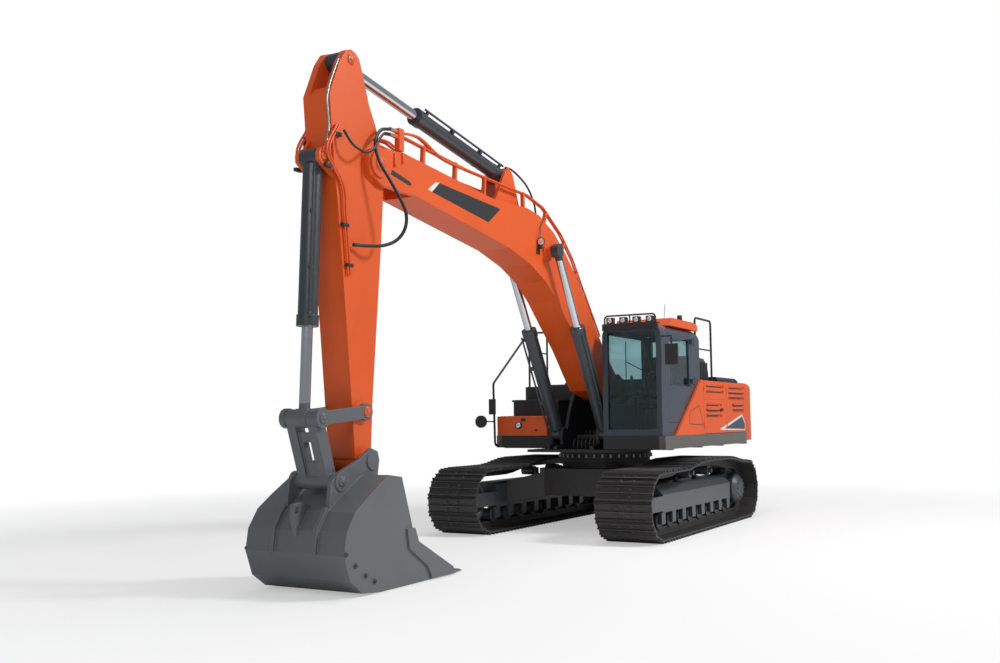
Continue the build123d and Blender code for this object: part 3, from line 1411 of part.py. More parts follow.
# Bucket: curved wrapper between two side plates, with a lip, ears and a top tube
bucket_back = [
    (6640.0, 1110.0),
    (6960.0, 930.0),
    (7180.0, 790.0),
    (7310.0, 610.0),
    (7345.0, 400.0),
    (7250.0, 160.0),
    (7060.0, 30.0),
    (6800.0, 6.0),
    (6200.0, 6.0),
    (5430.0, 12.0),
]
mouth_rear = (6420.0, 1080.0)
mouth_side = (6180.0, 420.0)
with BuildPart() as bucket:
    outline = [machine(*point) for point in bucket_back]
    outline += [machine(5430, 50), machine(*mouth_side), machine(*mouth_rear)]
    slab(outline, -BUCKET_HALF_WIDTH, BUCKET_HALF_WIDTH)
    with BuildSketch(side_view(BUCKET_HALF_WIDTH - BUCKET_SIDE)) as hollow:
        with BuildLine():
            Polyline(*outline, close=True)
        make_face()
        offset(amount=-BUCKET_WRAPPER, kind=Kind.INTERSECTION, mode=Mode.REPLACE)
        with BuildLine():
            Polyline(
                machine(5560, 42),
                machine(5400, 300),
                machine(6000, 1200),
                machine(*mouth_rear),
                machine(6700, 900),
                machine(6700, 60),
                close=True,
            )
        make_face()
    extrude(hollow.sketch, amount=2 * (BUCKET_HALF_WIDTH - BUCKET_SIDE), mode=Mode.SUBTRACT)
    for side in (1, -1):
        low, high = sorted((side * ear_inside, side * (ear_inside + EAR_THICKNESS)))
        slab(
            [
                machine(6395, 1060),
                machine(6360, 1240),
                machine(6390, 1330),
                machine(6500, 1365),
                machine(6680, 1260),
                machine(7040, 1135),
                machine(7130, 1060),
                machine(7170, 790),
                machine(6960, 925),
                machine(6640, 1105),
            ],
            low,
            high,
        )
        # Boss plates round the pins, ribs down the back and a bolted cutter on the side
        ear_out = ear_inside + EAR_THICKNESS
        for pin in (BUCKET_PIN, BUCKET_LINK_PIN):
            drum(machine(*pin), EYE_RADIUS, *sorted((side * ear_out, side * (ear_out + 15))))
        slab(
            [
                machine(7150, 800),
                machine(7310, 610),
                machine(7345, 400),
                machine(7368, 405),
                machine(7340, 640),
                machine(7200, 830),
            ],
            low,
            high,
        )
        slab(
            [
                machine(5450, 14),
                machine(5500, 90),
                machine(6150, 420),
                machine(6215, 560),
                machine(6350, 560),
                machine(6310, 360),
                machine(5980, 150),
                machine(5900, 14),
            ],
            *sorted((side * BUCKET_HALF_WIDTH, side * (BUCKET_HALF_WIDTH + CUTTER_THICKNESS))),
        )
    for pin in (BUCKET_PIN, BUCKET_LINK_PIN):
        drum(machine(*pin), PIN_RADIUS, -ear_inside, ear_inside)
    lift_eye = machine(7325, 800)
    slab(
        [
            machine(7130, 840),
            (lift_eye[0] - 40, lift_eye[1] + 75),
            (lift_eye[0] + 45, lift_eye[1] + 60),
            (lift_eye[0] + 50, lift_eye[1] - 40),
            machine(7325, 560),
            machine(7290, 560),
            machine(7150, 760),
        ],
        -LIFT_EYE_HALF,
        LIFT_EYE_HALF,
    )
    drum(lift_eye, LIFT_EYE_RADIUS, -LIFT_EYE_HALF - 1, LIFT_EYE_HALF + 1, mode=Mode.SUBTRACT)
bucket.part.label = "bucket"
export_step(bucket.part, "parts/bucket.step")

# Teeth on the lip
tooth_span = 2 * BUCKET_HALF_WIDTH - 160
with BuildPart() as bucket_teeth:
    for index in range(TOOTH_COUNT):
        middle = index * tooth_span / (TOOTH_COUNT - 1) - tooth_span / 2
        slab(
            [
                machine(5430, 12),
                machine(5430, 50),
                machine(5330, 42),
                machine(5260, 20),
                machine(5260, 12),
            ],
            middle - 60,
            middle + 60,
        )
bucket_teeth.part.label = "bucket_teeth"
export_step(bucket_teeth.part, "parts/bucket_teeth.step")
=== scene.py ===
import bpy
import bmesh
import math
from mathutils import Euler, Matrix, Vector
from mathutils.bvhtree import BVHTree


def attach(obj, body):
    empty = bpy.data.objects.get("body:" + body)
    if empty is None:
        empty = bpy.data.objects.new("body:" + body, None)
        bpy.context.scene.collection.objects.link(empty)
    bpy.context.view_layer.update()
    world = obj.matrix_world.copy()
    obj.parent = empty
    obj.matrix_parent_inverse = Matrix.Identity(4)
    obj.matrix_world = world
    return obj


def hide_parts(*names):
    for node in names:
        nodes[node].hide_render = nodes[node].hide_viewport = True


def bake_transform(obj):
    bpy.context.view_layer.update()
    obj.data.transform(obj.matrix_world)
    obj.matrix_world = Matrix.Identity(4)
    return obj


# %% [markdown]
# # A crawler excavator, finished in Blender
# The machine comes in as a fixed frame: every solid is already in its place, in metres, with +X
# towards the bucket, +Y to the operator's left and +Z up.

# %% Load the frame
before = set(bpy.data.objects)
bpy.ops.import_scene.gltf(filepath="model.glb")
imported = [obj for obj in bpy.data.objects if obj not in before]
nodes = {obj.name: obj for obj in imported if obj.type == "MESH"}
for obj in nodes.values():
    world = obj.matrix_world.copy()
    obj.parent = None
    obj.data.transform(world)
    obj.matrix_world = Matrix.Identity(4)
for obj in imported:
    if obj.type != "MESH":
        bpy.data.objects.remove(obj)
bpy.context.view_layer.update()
SWING_X = -1.94
# Pins across the machine, as (x, z) measured from the swing axis
BOOM_CYLINDER_FOOT = (0.88, 1.42)
BOOM_CYLINDER_HEAD = (2.40, 3.93)
ARM_CYLINDER_FOOT = (3.30, 4.83)
ARM_CYLINDER_HEAD = (6.70, 5.345)
ARM_PIN = (6.30, 4.33)
BUCKET_CYLINDER_FOOT = (7.088, 4.25)
LINK_PIN = (7.20, 1.67)
SIDE_LINK_PIN = (6.50, 1.73)
BUCKET_PIN = (6.48, 1.24)
BUCKET_LINK_PIN = (6.985, 1.06)
print("CAD nodes:", len(nodes))


def place(x, y, z):
    """Point in the row frame from one measured from the swing axis."""
    return Vector((SWING_X + x, y, z))


def in_scene(name, data):
    """New object with this data, linked to the scene."""
    item = bpy.data.objects.new(name, data)
    bpy.context.scene.collection.objects.link(item)
    return item


# %% [markdown]
# ## The camera
# The photograph is taken from about eye height, in front of the machine and to its left, and it
# looks slightly up. Its turn, pitch and roll are given as angles, and its axes are worked
# out from them, so that they can be read and changed.

# %% Camera
yaw, pitch, roll = (math.radians(a) for a in (29.307, 4.869, -0.570))
look = Vector((-math.cos(yaw) * math.cos(pitch), -math.sin(yaw) * math.cos(pitch), math.sin(pitch)))
flat_right = look.cross(Vector((0, 0, 1))).normalized()
flat_up = flat_right.cross(look)
right = math.cos(roll) * flat_right + math.sin(roll) * flat_up
up = -math.sin(roll) * flat_right + math.cos(roll) * flat_up
camera_data = bpy.data.cameras.new("photo_camera")
camera_data.sensor_width = 36.0
camera_data.lens = 37.345
camera_data.clip_end = 200.0
camera = in_scene("photo_camera", camera_data)
camera.location = place(15.022, 6.565, 1.636)
camera.rotation_mode = "QUATERNION"
axes = (right, up, -look)
turn = [[axes[column][row] for column in range(3)] for row in range(3)]
camera.rotation_quaternion = Matrix(turn).to_quaternion()
bpy.context.scene.camera = camera
print("camera at", [round(v, 2) for v in camera.location])

# %% [markdown]
# ## Floor, world and lamps
# A machine photographed for a catalogue stands on white with a soft shadow. The floor is a plain
# pale plane that fades to white with distance, seen by the camera only, so its light stays natural.
# Large soft lamps stand high on the machine's left and in front of it.

# %% Floor and world
def mesh_object(name, vertices, faces, material=None):
    mesh = bpy.data.meshes.new(name)
    mesh.from_pydata([tuple(v) for v in vertices], [], faces)
    mesh.update()
    item = in_scene(name, mesh)
    if material:
        mesh.materials.append(material)
    return item


def new_node(make, kind, inputs=None, **settings):
    """Add a node with settings of its own, and values on its inputs that have no link."""
    node = make.new(kind)
    for name, value in settings.items():
        setattr(node, name, value)
    for name, value in (inputs or {}).items():
        node.inputs[name].default_value = value
    return node


def linker(tree):
    """Function that joins an output to an input of two nodes, each by name or number."""
    def link(source, output, target, entry):
        tree.links.new(source.outputs[output], target.inputs[entry])
    return link


FLOOR_HALF = 40.0
FADE_START = 5.0
FADE_END = 13.0
NEAR_WHITE = 0.42
floor_paint = bpy.data.materials.new("studio_floor")
floor_paint.use_nodes = True
make, link = floor_paint.node_tree.nodes, linker(floor_paint.node_tree)
make.clear()
floor_out = new_node(make, "ShaderNodeOutputMaterial")
floor_mix = new_node(make, "ShaderNodeMixShader")
floor_matt = new_node(make, "ShaderNodeBsdfDiffuse", {"Color": (0.92, 0.92, 0.92, 1)})
floor_white = new_node(make, "ShaderNodeEmission", {"Color": (1, 1, 1, 1)})
where = new_node(make, "ShaderNodeTexCoord")
reach = new_node(make, "ShaderNodeVectorMath", operation="LENGTH")
fade = new_node(make, "ShaderNodeMapRange",
                {"From Min": FADE_START, "From Max": FADE_END, "To Min": NEAR_WHITE})
rays = new_node(make, "ShaderNodeLightPath")
seen = new_node(make, "ShaderNodeMath", operation="MULTIPLY")
link(where, "Object", reach, 0)
link(reach, "Value", fade, "Value")
link(fade, "Result", seen, 0)
link(rays, "Is Camera Ray", seen, 1)
link(seen, "Value", floor_mix, "Fac")
link(floor_matt, "BSDF", floor_mix, 1)
link(floor_white, "Emission", floor_mix, 2)
link(floor_mix, "Shader", floor_out, "Surface")
floor_corners = [(x * FLOOR_HALF, y * FLOOR_HALF, 0)
                 for x, y in ((-1, -1), (1, -1), (1, 1), (-1, 1))]
floor = mesh_object("studio_floor", floor_corners, [(0, 1, 2, 3)], floor_paint)

SKY_STRENGTH = 0.30
world = bpy.data.worlds.new("studio_world")
bpy.context.scene.world = world
world.use_nodes = True
make, link = world.node_tree.nodes, linker(world.node_tree)
make.clear()
world_out = new_node(make, "ShaderNodeOutputWorld")
world_mix = new_node(make, "ShaderNodeMixShader")
world_light = new_node(make, "ShaderNodeBackground",
                       {"Color": (0.93, 0.96, 1.0, 1), "Strength": SKY_STRENGTH})
world_white = new_node(make, "ShaderNodeBackground", {"Color": (1, 1, 1, 1), "Strength": 1.0})
rays = new_node(make, "ShaderNodeLightPath")
glass_rays = new_node(make, "ShaderNodeMath", operation="MAXIMUM")
link(rays, "Is Camera Ray", glass_rays, 0)
link(rays, "Is Transmission Ray", glass_rays, 1)
link(glass_rays, "Value", world_mix, "Fac")
link(world_light, "Background", world_mix, 1)
link(world_white, "Background", world_mix, 2)
link(world_mix, "Shader", world_out, "Surface")


def soft_lamp(name, at, target, size, power):
    data = bpy.data.lights.new(name, "AREA")
    data.shape = "DISK"
    data.size = size
    data.energy = power
    lamp = in_scene(name, data)
    lamp.location = at
    lamp.rotation_mode = "QUATERNION"
    lamp.rotation_quaternion = (Vector(target) - Vector(at)).to_track_quat("-Z", "Y")


soft_lamp("key_lamp", (-2.0, 13.0, 12.0), (1.0, 0, 2.0), 3.0, 1700)
soft_lamp("front_lamp", (14.0, 4.0, 8.0), (1.5, 0, 2.5), 6.0, 260)
soft_lamp("top_lamp", (0.0, 1.0, 16.0), (0, 0, 0), 8.0, 620)
bpy.context.scene.view_settings.view_transform = "Standard"

# %% [markdown]
# ## Paint
# Paint on thick plate is never one flat colour. It is a little lighter on the edges, partly as wear
# where it is thin and partly as a painted highlight, it holds dust low down, and its gloss wanders.
# One helper makes every painted finish, and each finish gives it a colour and a few sizes. The
# Bevel node rounds edges in the shading.

# %% Painted steel
DUST_HEIGHT = 1.3
DUST_COLOUR = (0.20, 0.17, 0.14)


def new_finish(name):
    finish = bpy.data.materials.new(name)
    finish.use_nodes = True
    return finish, finish.node_tree.nodes, linker(finish.node_tree)


def tone_of(colour, share, lift=0.0):
    """Lighter or darker tone of a colour, as the four numbers that a socket takes."""
    return (*[min(1, c * share + lift) for c in colour], 1)


def painted(name, colour, roughness=0.4, coat=0.3, edge=1.35, dust=0.10, grain=0.35,
            rounding=0.010):
    """Paint with edge wear and a painted edge highlight, dust thinning with height, wandering
    gloss, fine peel.
    """
    finish, make, link = new_finish(name)
    shader = make["Principled BSDF"]
    where = new_node(make, "ShaderNodeTexCoord")
    cloud = new_node(make, "ShaderNodeTexNoise", {"Scale": 1.7, "Detail": 6.0})
    speck = new_node(make, "ShaderNodeTexNoise", {"Scale": 26.0, "Detail": 5.0})
    peel = new_node(make, "ShaderNodeTexNoise", {"Scale": 160.0})
    for noise in (cloud, speck, peel):
        link(where, "Object", noise, "Vector")
    shade = new_node(make, "ShaderNodeMix",
                     {"A": tone_of(colour, 0.86), "B": tone_of(colour, 1.10)}, data_type="RGBA")
    link(cloud, "Fac", shade, "Factor")
    # Edge mask from the turn between the rounded and the true normal; edges get wear and a painted
    # highlight
    rounded = new_node(make, "ShaderNodeBevel", {"Radius": rounding}, samples=4)
    flat = new_node(make, "ShaderNodeNewGeometry")
    turn = new_node(make, "ShaderNodeVectorMath", operation="DOT_PRODUCT")
    link(rounded, "Normal", turn, 0)
    link(flat, "Normal", turn, 1)
    edge_wear_and_highlight_mask = new_node(make, "ShaderNodeMapRange", {"From Min": 0.995, "From Max": 0.80})
    link(turn, "Value", edge_wear_and_highlight_mask, "Value")
    # Lighter edges: partly wear, partly a painted highlight
    edge_wear_and_highlight = new_node(make, "ShaderNodeMix", {"B": tone_of(colour, edge, 0.012)}, data_type="RGBA")
    link(edge_wear_and_highlight_mask, "Result", edge_wear_and_highlight, "Factor")
    link(shade, "Result", edge_wear_and_highlight, "A")
    # Dust settles low on the machine
    split = new_node(make, "ShaderNodeSeparateXYZ")
    link(where, "Object", split, "Vector")
    low = new_node(make, "ShaderNodeMapRange",
                   {"From Min": DUST_HEIGHT, "From Max": 0.0, "To Max": dust * 4})
    link(split, "Z", low, "Value")
    patchy = new_node(make, "ShaderNodeMath", operation="MULTIPLY")
    link(low, "Result", patchy, 0)
    link(speck, "Fac", patchy, 1)
    dusty = new_node(make, "ShaderNodeMix", {"B": tone_of(DUST_COLOUR, 1.0)}, data_type="RGBA")
    link(patchy, "Value", dusty, "Factor")
    link(edge_wear_and_highlight, "Result", dusty, "A")
    link(dusty, "Result", shader, "Base Color")
    gloss = new_node(make, "ShaderNodeMapRange",
                     {"To Min": roughness - 0.08, "To Max": roughness + 0.12})
    link(speck, "Fac", gloss, "Value")
    link(gloss, "Result", shader, "Roughness")
    bump = new_node(make, "ShaderNodeBump", {"Strength": grain, "Distance": 0.0006})
    link(peel, "Fac", bump, "Height")
    link(rounded, "Normal", bump, "Normal")
    link(bump, "Normal", shader, "Normal")
    shader.inputs["Coat Weight"].default_value = coat
    shader.inputs["Coat Roughness"].default_value = 0.18
    return finish


# The fifth argument, edge, is how much lighter the edges are, as wear and as a painted highlight
orange_paint = painted("orange_paint", (0.78, 0.100, 0.008), 0.40, 0.12, 1.10, 0.02)
slate_paint = painted("slate_paint", (0.050, 0.060, 0.073), 0.42, 0.2, 2.2, 0.08)
frame_paint = painted("frame_paint", (0.016, 0.017, 0.021), 0.48, 0.1, 2.4, 0.10)
barrel_paint = painted("barrel_paint", (0.038, 0.047, 0.058), 0.34, 0.3, 2.2, 0.03)
skirt_paint = painted("skirt_paint", (0.125, 0.112, 0.103), 0.50, 0.1, 1.5, 0.08)
cab_paint = painted("cab_paint", (0.040, 0.056, 0.080), 0.32, 0.4, 2.2, 0.02)
bucket_paint = painted("bucket_paint", (0.115, 0.124, 0.136), 0.46, 0.15, 1.8, 0.04)
black_paint = painted("black_paint", (0.017, 0.018, 0.021), 0.45, 0.15, 2.4, 0.05)
track_steel = painted("track_steel", (0.022, 0.022, 0.023), 0.50, 0.0, 7.0, 0.05, 0.9, 0.008)
white_film = painted("white_film", (0.80, 0.80, 0.78), 0.35, 0.3, 1.0, 0.0, 0.1, 0.001)
print("painted finishes: 10")

# %% [markdown]
# ## Chrome, glass, rubber and cloth
# Piston rods are hard chrome over steel, with a faint grain. The cab's panes are tinted safety
# glass. The seat is woven cloth and the hoses are smooth rubber.

# %% Other finishes
def plain_finish(name, colour, roughness, metallic=0.0, scale=60.0, spread=0.08, bump_size=0.0004):
    """Unpainted finish whose tone, gloss and surface follow one fine grain."""
    finish, make, link = new_finish(name)
    shader = make["Principled BSDF"]
    shader.inputs["Metallic"].default_value = metallic
    where = new_node(make, "ShaderNodeTexCoord")
    grain = new_node(make, "ShaderNodeTexNoise", {"Scale": scale, "Detail": 4.0})
    link(where, "Object", grain, "Vector")
    tone = new_node(make, "ShaderNodeMix",
                    {"A": tone_of(colour, 0.82), "B": tone_of(colour, 1.15)}, data_type="RGBA")
    link(grain, "Fac", tone, "Factor")
    link(tone, "Result", shader, "Base Color")
    gloss = new_node(make, "ShaderNodeMapRange",
                     {"To Min": max(0.02, roughness - spread), "To Max": roughness + spread})
    link(grain, "Fac", gloss, "Value")
    link(gloss, "Result", shader, "Roughness")
    bump = new_node(make, "ShaderNodeBump", {"Distance": bump_size, "Strength": 0.4})
    link(grain, "Fac", bump, "Height")
    link(bump, "Normal", shader, "Normal")
    return finish


rod_chrome = plain_finish("rod_chrome", (0.78, 0.80, 0.84), 0.16, 1.0, 40, 0.05, 0.0001)
bare_steel = plain_finish("bare_steel", (0.42, 0.41, 0.40), 0.38, 1.0, 70, 0.10)
hose_rubber = plain_finish("hose_rubber", (0.016, 0.016, 0.018), 0.42, 0.0, 90, 0.10)
seat_cloth = plain_finish("seat_cloth", (0.030, 0.033, 0.040), 0.85, 0.0, 400, 0.08, 0.0010)

tinted_glass, make, link = new_finish("tinted_glass")
shader = make["Principled BSDF"]
for slot, value in (("Base Color", (0.42, 0.58, 0.60, 1)), ("Roughness", 0.02),
                    ("Transmission Weight", 1.0), ("IOR", 1.1), ("Coat Weight", 0.6),
                    ("Coat Roughness", 0.03)):
    shader.inputs[slot].default_value = value
print("other finishes: 5")

# %% [markdown]
# ## Two finishes on one solid
# A piston rod and its eye are one solid, but only the rod is chromed, and the skirt of the house is
# painted in another colour than its frame. The solid stays whole, and its material holds both
# finishes: a mask made from the place of each point picks one.

# %% Masked finishes
CHROME_GLOSS = 0.17


def joined_finish(name, inner, outer, mask_maker):
    """Finish that shows inner where the mask is 1 and outer where it is 0."""
    finish = outer.copy()
    finish.name = name
    make, link = finish.node_tree.nodes, linker(finish.node_tree)
    shader = make["Principled BSDF"]
    mask = mask_maker(make, link)
    source = inner.node_tree.nodes["Principled BSDF"]
    for slot in ("Base Color", "Roughness", "Metallic", "Coat Weight"):
        colour = slot == "Base Color"
        # A Mix node holds the sockets of all its kinds in one list
        low, high, result = (6, 7, 2) if colour else (2, 3, 0)
        mix = new_node(make, "ShaderNodeMix", data_type="RGBA" if colour else "FLOAT")
        if shader.inputs[slot].links:
            old = shader.inputs[slot].links[0]
            link(old.from_node, old.from_socket.name, mix, low)
        else:
            mix.inputs[low].default_value = shader.inputs[slot].default_value
        if colour:
            value = inner.diffuse_color
        elif slot == "Roughness":
            value = CHROME_GLOSS
        else:
            value = source.inputs[slot].default_value
        mix.inputs[high].default_value = value
        link(mask, "Value", mix, 0)
        link(mix, result, shader, slot)
    return finish


def beyond(centre, radius):
    """Mask that is 1 farther than radius from a line across the machine."""
    def build(make, link):
        where = new_node(make, "ShaderNodeTexCoord")
        flat = new_node(make, "ShaderNodeVectorMath", {1: (1, 0, 1)}, operation="MULTIPLY")
        span = new_node(make, "ShaderNodeVectorMath", {1: (SWING_X + centre[0], 0, centre[1])},
                        operation="DISTANCE")
        test = new_node(make, "ShaderNodeMath", {1: radius}, operation="GREATER_THAN")
        link(where, "Object", flat, 0)
        link(flat, "Vector", span, 0)
        link(span, "Value", test, 0)
        return test
    return build


def outside_of(distance):
    """Mask that is 1 on both flanks, farther than distance from the middle plane."""
    def build(make, link):
        where = new_node(make, "ShaderNodeTexCoord")
        split = new_node(make, "ShaderNodeSeparateXYZ")
        size = new_node(make, "ShaderNodeMath", operation="ABSOLUTE")
        test = new_node(make, "ShaderNodeMath", {1: distance}, operation="GREATER_THAN")
        link(where, "Object", split, "Vector")
        link(split, "Y", size, 0)
        link(size, "Value", test, 0)
        return test
    return build


rod_chrome.diffuse_color = (0.62, 0.64, 0.68, 1)
skirt_paint.diffuse_color = (0.125, 0.112, 0.103, 1)
boom_rod_finish = joined_finish("boom_rod_finish", rod_chrome, barrel_paint,
                                beyond(BOOM_CYLINDER_HEAD, 0.14))
arm_rod_finish = joined_finish("arm_rod_finish", rod_chrome, barrel_paint,
                               beyond(ARM_CYLINDER_HEAD, 0.17))
bucket_rod_finish = joined_finish("bucket_rod_finish", rod_chrome, bucket_paint,
                                  beyond(LINK_PIN, 0.15))
house_frame_finish = joined_finish("house_frame_finish", skirt_paint, frame_paint, outside_of(1.40))
print("masked finishes: 4")

# %% Finish of every CAD node
finishes = {
    frame_paint: "car_body swing_ring",
    slate_paint: "track_frame_left track_frame_right idlers sprockets rollers cowl intake_box",
    track_steel: "track_left track_right",
    house_frame_finish: "upper_frame",
    orange_paint: "counterweight side_panel tool_box cab_roof left_front_door left_rear_door "
                  "right_door boom boom_pipes arm",
    black_paint: "engine_block tank_steps roof_lamps handrails mirrors engine_hood",
    bare_steel: "exhaust",
    cab_paint: "cab_shell cab_door",
    tinted_glass: "cab_glass door_glass",
    seat_cloth: "seat",
    barrel_paint: "boom_barrel_left boom_barrel_right arm_barrel bucket_barrel",
    boom_rod_finish: "boom_rod_left boom_rod_right",
    arm_rod_finish: "arm_rod",
    bucket_rod_finish: "bucket_rod",
    bucket_paint: "side_links bucket_link bucket bucket_teeth",
}
for finish, names in finishes.items():
    for node in names.split():
        nodes[node].data.materials.clear()
        nodes[node].data.materials.append(finish)
print("finished nodes:", sum(len(names.split()) for names in finishes.values()))

# %% [markdown]
# ## Measuring the solids, and a few shapes
# A detail has to sit on its plate, not near it. So we ask the frame itself where its surface is,
# with a ray, as one would with a finger. Round bars, blocks, plates and bent pipes are then enough
# for almost all small parts, and each function adds its shape to one mesh.

# %% Finding a surface
ray_trees = {}


def touch(node, start, way):
    """First point where a ray from start meets a node; both in the machine's own measure."""
    if node not in ray_trees:
        mesh = nodes[node].data
        ray_trees[node] = BVHTree.FromPolygons([v.co for v in mesh.vertices],
                                               [p.vertices for p in mesh.polygons])
    found = ray_trees[node].ray_cast(place(*start), Vector(way))[0]
    return None if found is None else Vector((found.x - SWING_X, found.y, found.z))


def flank(node, x, z, side=1, fallback=0.2):
    """Distance from the middle plane to the outermost face of a node at (x, z)."""
    found = touch(node, (x, side * 3.0, z), (0, -side, 0))
    return fallback if found is None else abs(found.y)


def node_range(node, axis):
    """Lowest and highest value of a node on an axis, in the row frame."""
    values = [v.co[axis] for v in nodes[node].data.vertices]
    return min(values), max(values)


print("boom flank:", round(flank("boom", 4.0, 4.2), 3))

# %% Small shapes
def bar(work, start, end, radius, tip=None, sides=20):
    a, b = place(*start), place(*end)
    turn = (b - a).to_track_quat("Z", "Y").to_matrix().to_4x4()
    bmesh.ops.create_cone(work, cap_ends=True, segments=sides, radius1=radius,
                          radius2=radius if tip is None else tip, depth=(b - a).length,
                          matrix=Matrix.Translation((a + b) / 2) @ turn)


def block(work, low, high):
    a, b = place(*low), place(*high)
    bmesh.ops.create_cube(work, size=1.0, matrix=Matrix.Translation((a + b) / 2)
                          @ Matrix.Diagonal((*[abs(v) for v in b - a], 1.0)))


def plate(work, outline, y_low, y_high):
    """Plate with a side-view outline of (x, z) points, between two values of y."""
    low = [work.verts.new(place(x, y_low, z)) for x, z in outline]
    high = [work.verts.new(place(x, y_high, z)) for x, z in outline]
    work.faces.new(low)
    work.faces.new(high[::-1])
    for i in range(len(outline)):
        j = (i + 1) % len(outline)
        work.faces.new((low[i], high[i], high[j], low[j]))


def collar(work, start, end, inner, outer, sides=40):
    """Ring round the line from start to end, open in the middle."""
    a, b = place(*start), place(*end)
    way = (b - a).normalized()
    x = way.orthogonal().normalized()
    y = way.cross(x)
    rings = [[work.verts.new(at + r * (math.cos(t) * x + math.sin(t) * y))
              for t in (2 * math.pi * k / sides for k in range(sides))]
             for at, r in ((a, inner), (a, outer), (b, outer), (b, inner))]
    for first, second in zip(rings, rings[1:] + rings[:1]):
        for k in range(sides):
            m = (k + 1) % sides
            work.faces.new((first[k], first[m], second[m], second[k]))


def half(outline, edge, keep):
    """Part of an outline on one side of x = edge; keep is 1 in front of it and -1 behind."""
    kept = []
    for a, b in zip(outline, outline[1:] + outline[:1]):
        inside_a, inside_b = (keep * (a[0] - edge) >= 0), (keep * (b[0] - edge) >= 0)
        if inside_a:
            kept.append(a)
        if inside_a != inside_b:
            t = (edge - a[0]) / (b[0] - a[0])
            kept.append((edge, a[1] + t * (b[1] - a[1])))
    return kept


def smooth_route(points, steps=8):
    """Smooth line through the points, each in the machine's own measure."""
    run = [Vector(p) for p in points]
    run = [run[0] * 2 - run[1]] + run + [run[-1] * 2 - run[-2]]
    line = []
    for i in range(1, len(run) - 2):
        a, b, c, d = run[i - 1:i + 3]
        for k in range(steps):
            t = k / steps
            line.append(0.5 * (2 * b + (c - a) * t + (2 * a - 5 * b + 4 * c - d) * t * t
                               + (3 * b - a - 3 * c + d) * t ** 3))
    return line + [run[-2]]


def tube(work, line, radius, sides=12):
    """Round tube along a line, closed at both ends."""
    line = [place(*p) for p in line]
    ways = [(line[min(i + 1, len(line) - 1)] - line[max(i - 1, 0)]).normalized()
            for i in range(len(line))]
    across = ways[0].orthogonal().normalized()
    rings = []
    for point, way in zip(line, ways):
        across = (across - way * across.dot(way)).normalized()
        other = way.cross(across)
        rings.append([work.verts.new(point + radius * (math.cos(a) * across + math.sin(a) * other))
                      for a in (2 * math.pi * k / sides for k in range(sides))])
    for first, second in zip(rings, rings[1:]):
        for k in range(sides):
            m = (k + 1) % sides
            work.faces.new((first[k], first[m], second[m], second[k]))
    work.faces.new(rings[0][::-1])
    work.faces.new(rings[-1])


def finished(name, work, body, material, bevel=0.003, smooth=40):
    """Turn a mesh under work into a finished piece that rides on a body."""
    bmesh.ops.recalc_face_normals(work, faces=work.faces)
    if bevel:
        edges = [e for e in work.edges if e.is_manifold and e.calc_face_angle(0) > math.radians(50)]
        bmesh.ops.bevel(work, geom=edges, offset=bevel, segments=1, affect="EDGES",
                        clamp_overlap=True)
    mesh = bpy.data.meshes.new(name)
    work.to_mesh(mesh)
    work.free()
    mesh.shade_smooth()
    mesh.set_sharp_from_angle(angle=math.radians(smooth))
    mesh.materials.append(material)
    item = in_scene(name, mesh)
    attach(item, body)
    return item


print("shapes: bar, block, plate, collar, tube")

# %% [markdown]
# ## Setting out repeated parts with Geometry Nodes
# Bolts, louvres, ribs and grip buttons repeat by the dozen. One tree sets a template out on the
# points of a mesh. Each point carries its own turn, and the tree has named inputs for the template
# and its size. The result is made real and kept as a plain mesh, because instances aren't exported.

# %% The tree
def set_out_tree():
    tree = bpy.data.node_groups.new("set_out", "GeometryNodeTree")
    for name, kind in (("Points", "Geometry"), ("Template", "Object"), ("Size", "Vector"),
                       ("Finish", "Material")):
        tree.interface.new_socket(name, in_out="INPUT", socket_type="NodeSocket" + kind)
    tree.interface.new_socket("Parts", in_out="OUTPUT", socket_type="NodeSocketGeometry")
    make, link = tree.nodes, linker(tree)
    start, end = new_node(make, "NodeGroupInput"), new_node(make, "NodeGroupOutput")
    shape = new_node(make, "GeometryNodeObjectInfo")
    turn = new_node(make, "GeometryNodeInputNamedAttribute", {"Name": "turn"},
                    data_type="FLOAT_VECTOR")
    spin = new_node(make, "FunctionNodeEulerToRotation")
    each = new_node(make, "GeometryNodeInstanceOnPoints")
    real = new_node(make, "GeometryNodeRealizeInstances")
    coat = new_node(make, "GeometryNodeSetMaterial")
    link(start, "Points", each, "Points")
    link(start, "Template", shape, "Object")
    link(shape, "Geometry", each, "Instance")
    link(turn, "Attribute", spin, "Euler")
    link(spin, "Rotation", each, "Rotation")
    link(start, "Size", each, "Scale")
    link(each, "Instances", real, "Geometry")
    link(real, "Geometry", coat, "Geometry")
    link(start, "Finish", coat, "Material")
    link(coat, "Geometry", end, "Parts")
    return tree


set_out = set_out_tree()


def template(name, build):
    """Shape about the origin, with its foot on z = 0, for the tree to repeat."""
    work = bmesh.new()
    build(work)
    bmesh.ops.recalc_face_normals(work, faces=work.faces)
    mesh = bpy.data.meshes.new(name)
    work.to_mesh(mesh)
    work.free()
    item = in_scene(name, mesh)
    return item


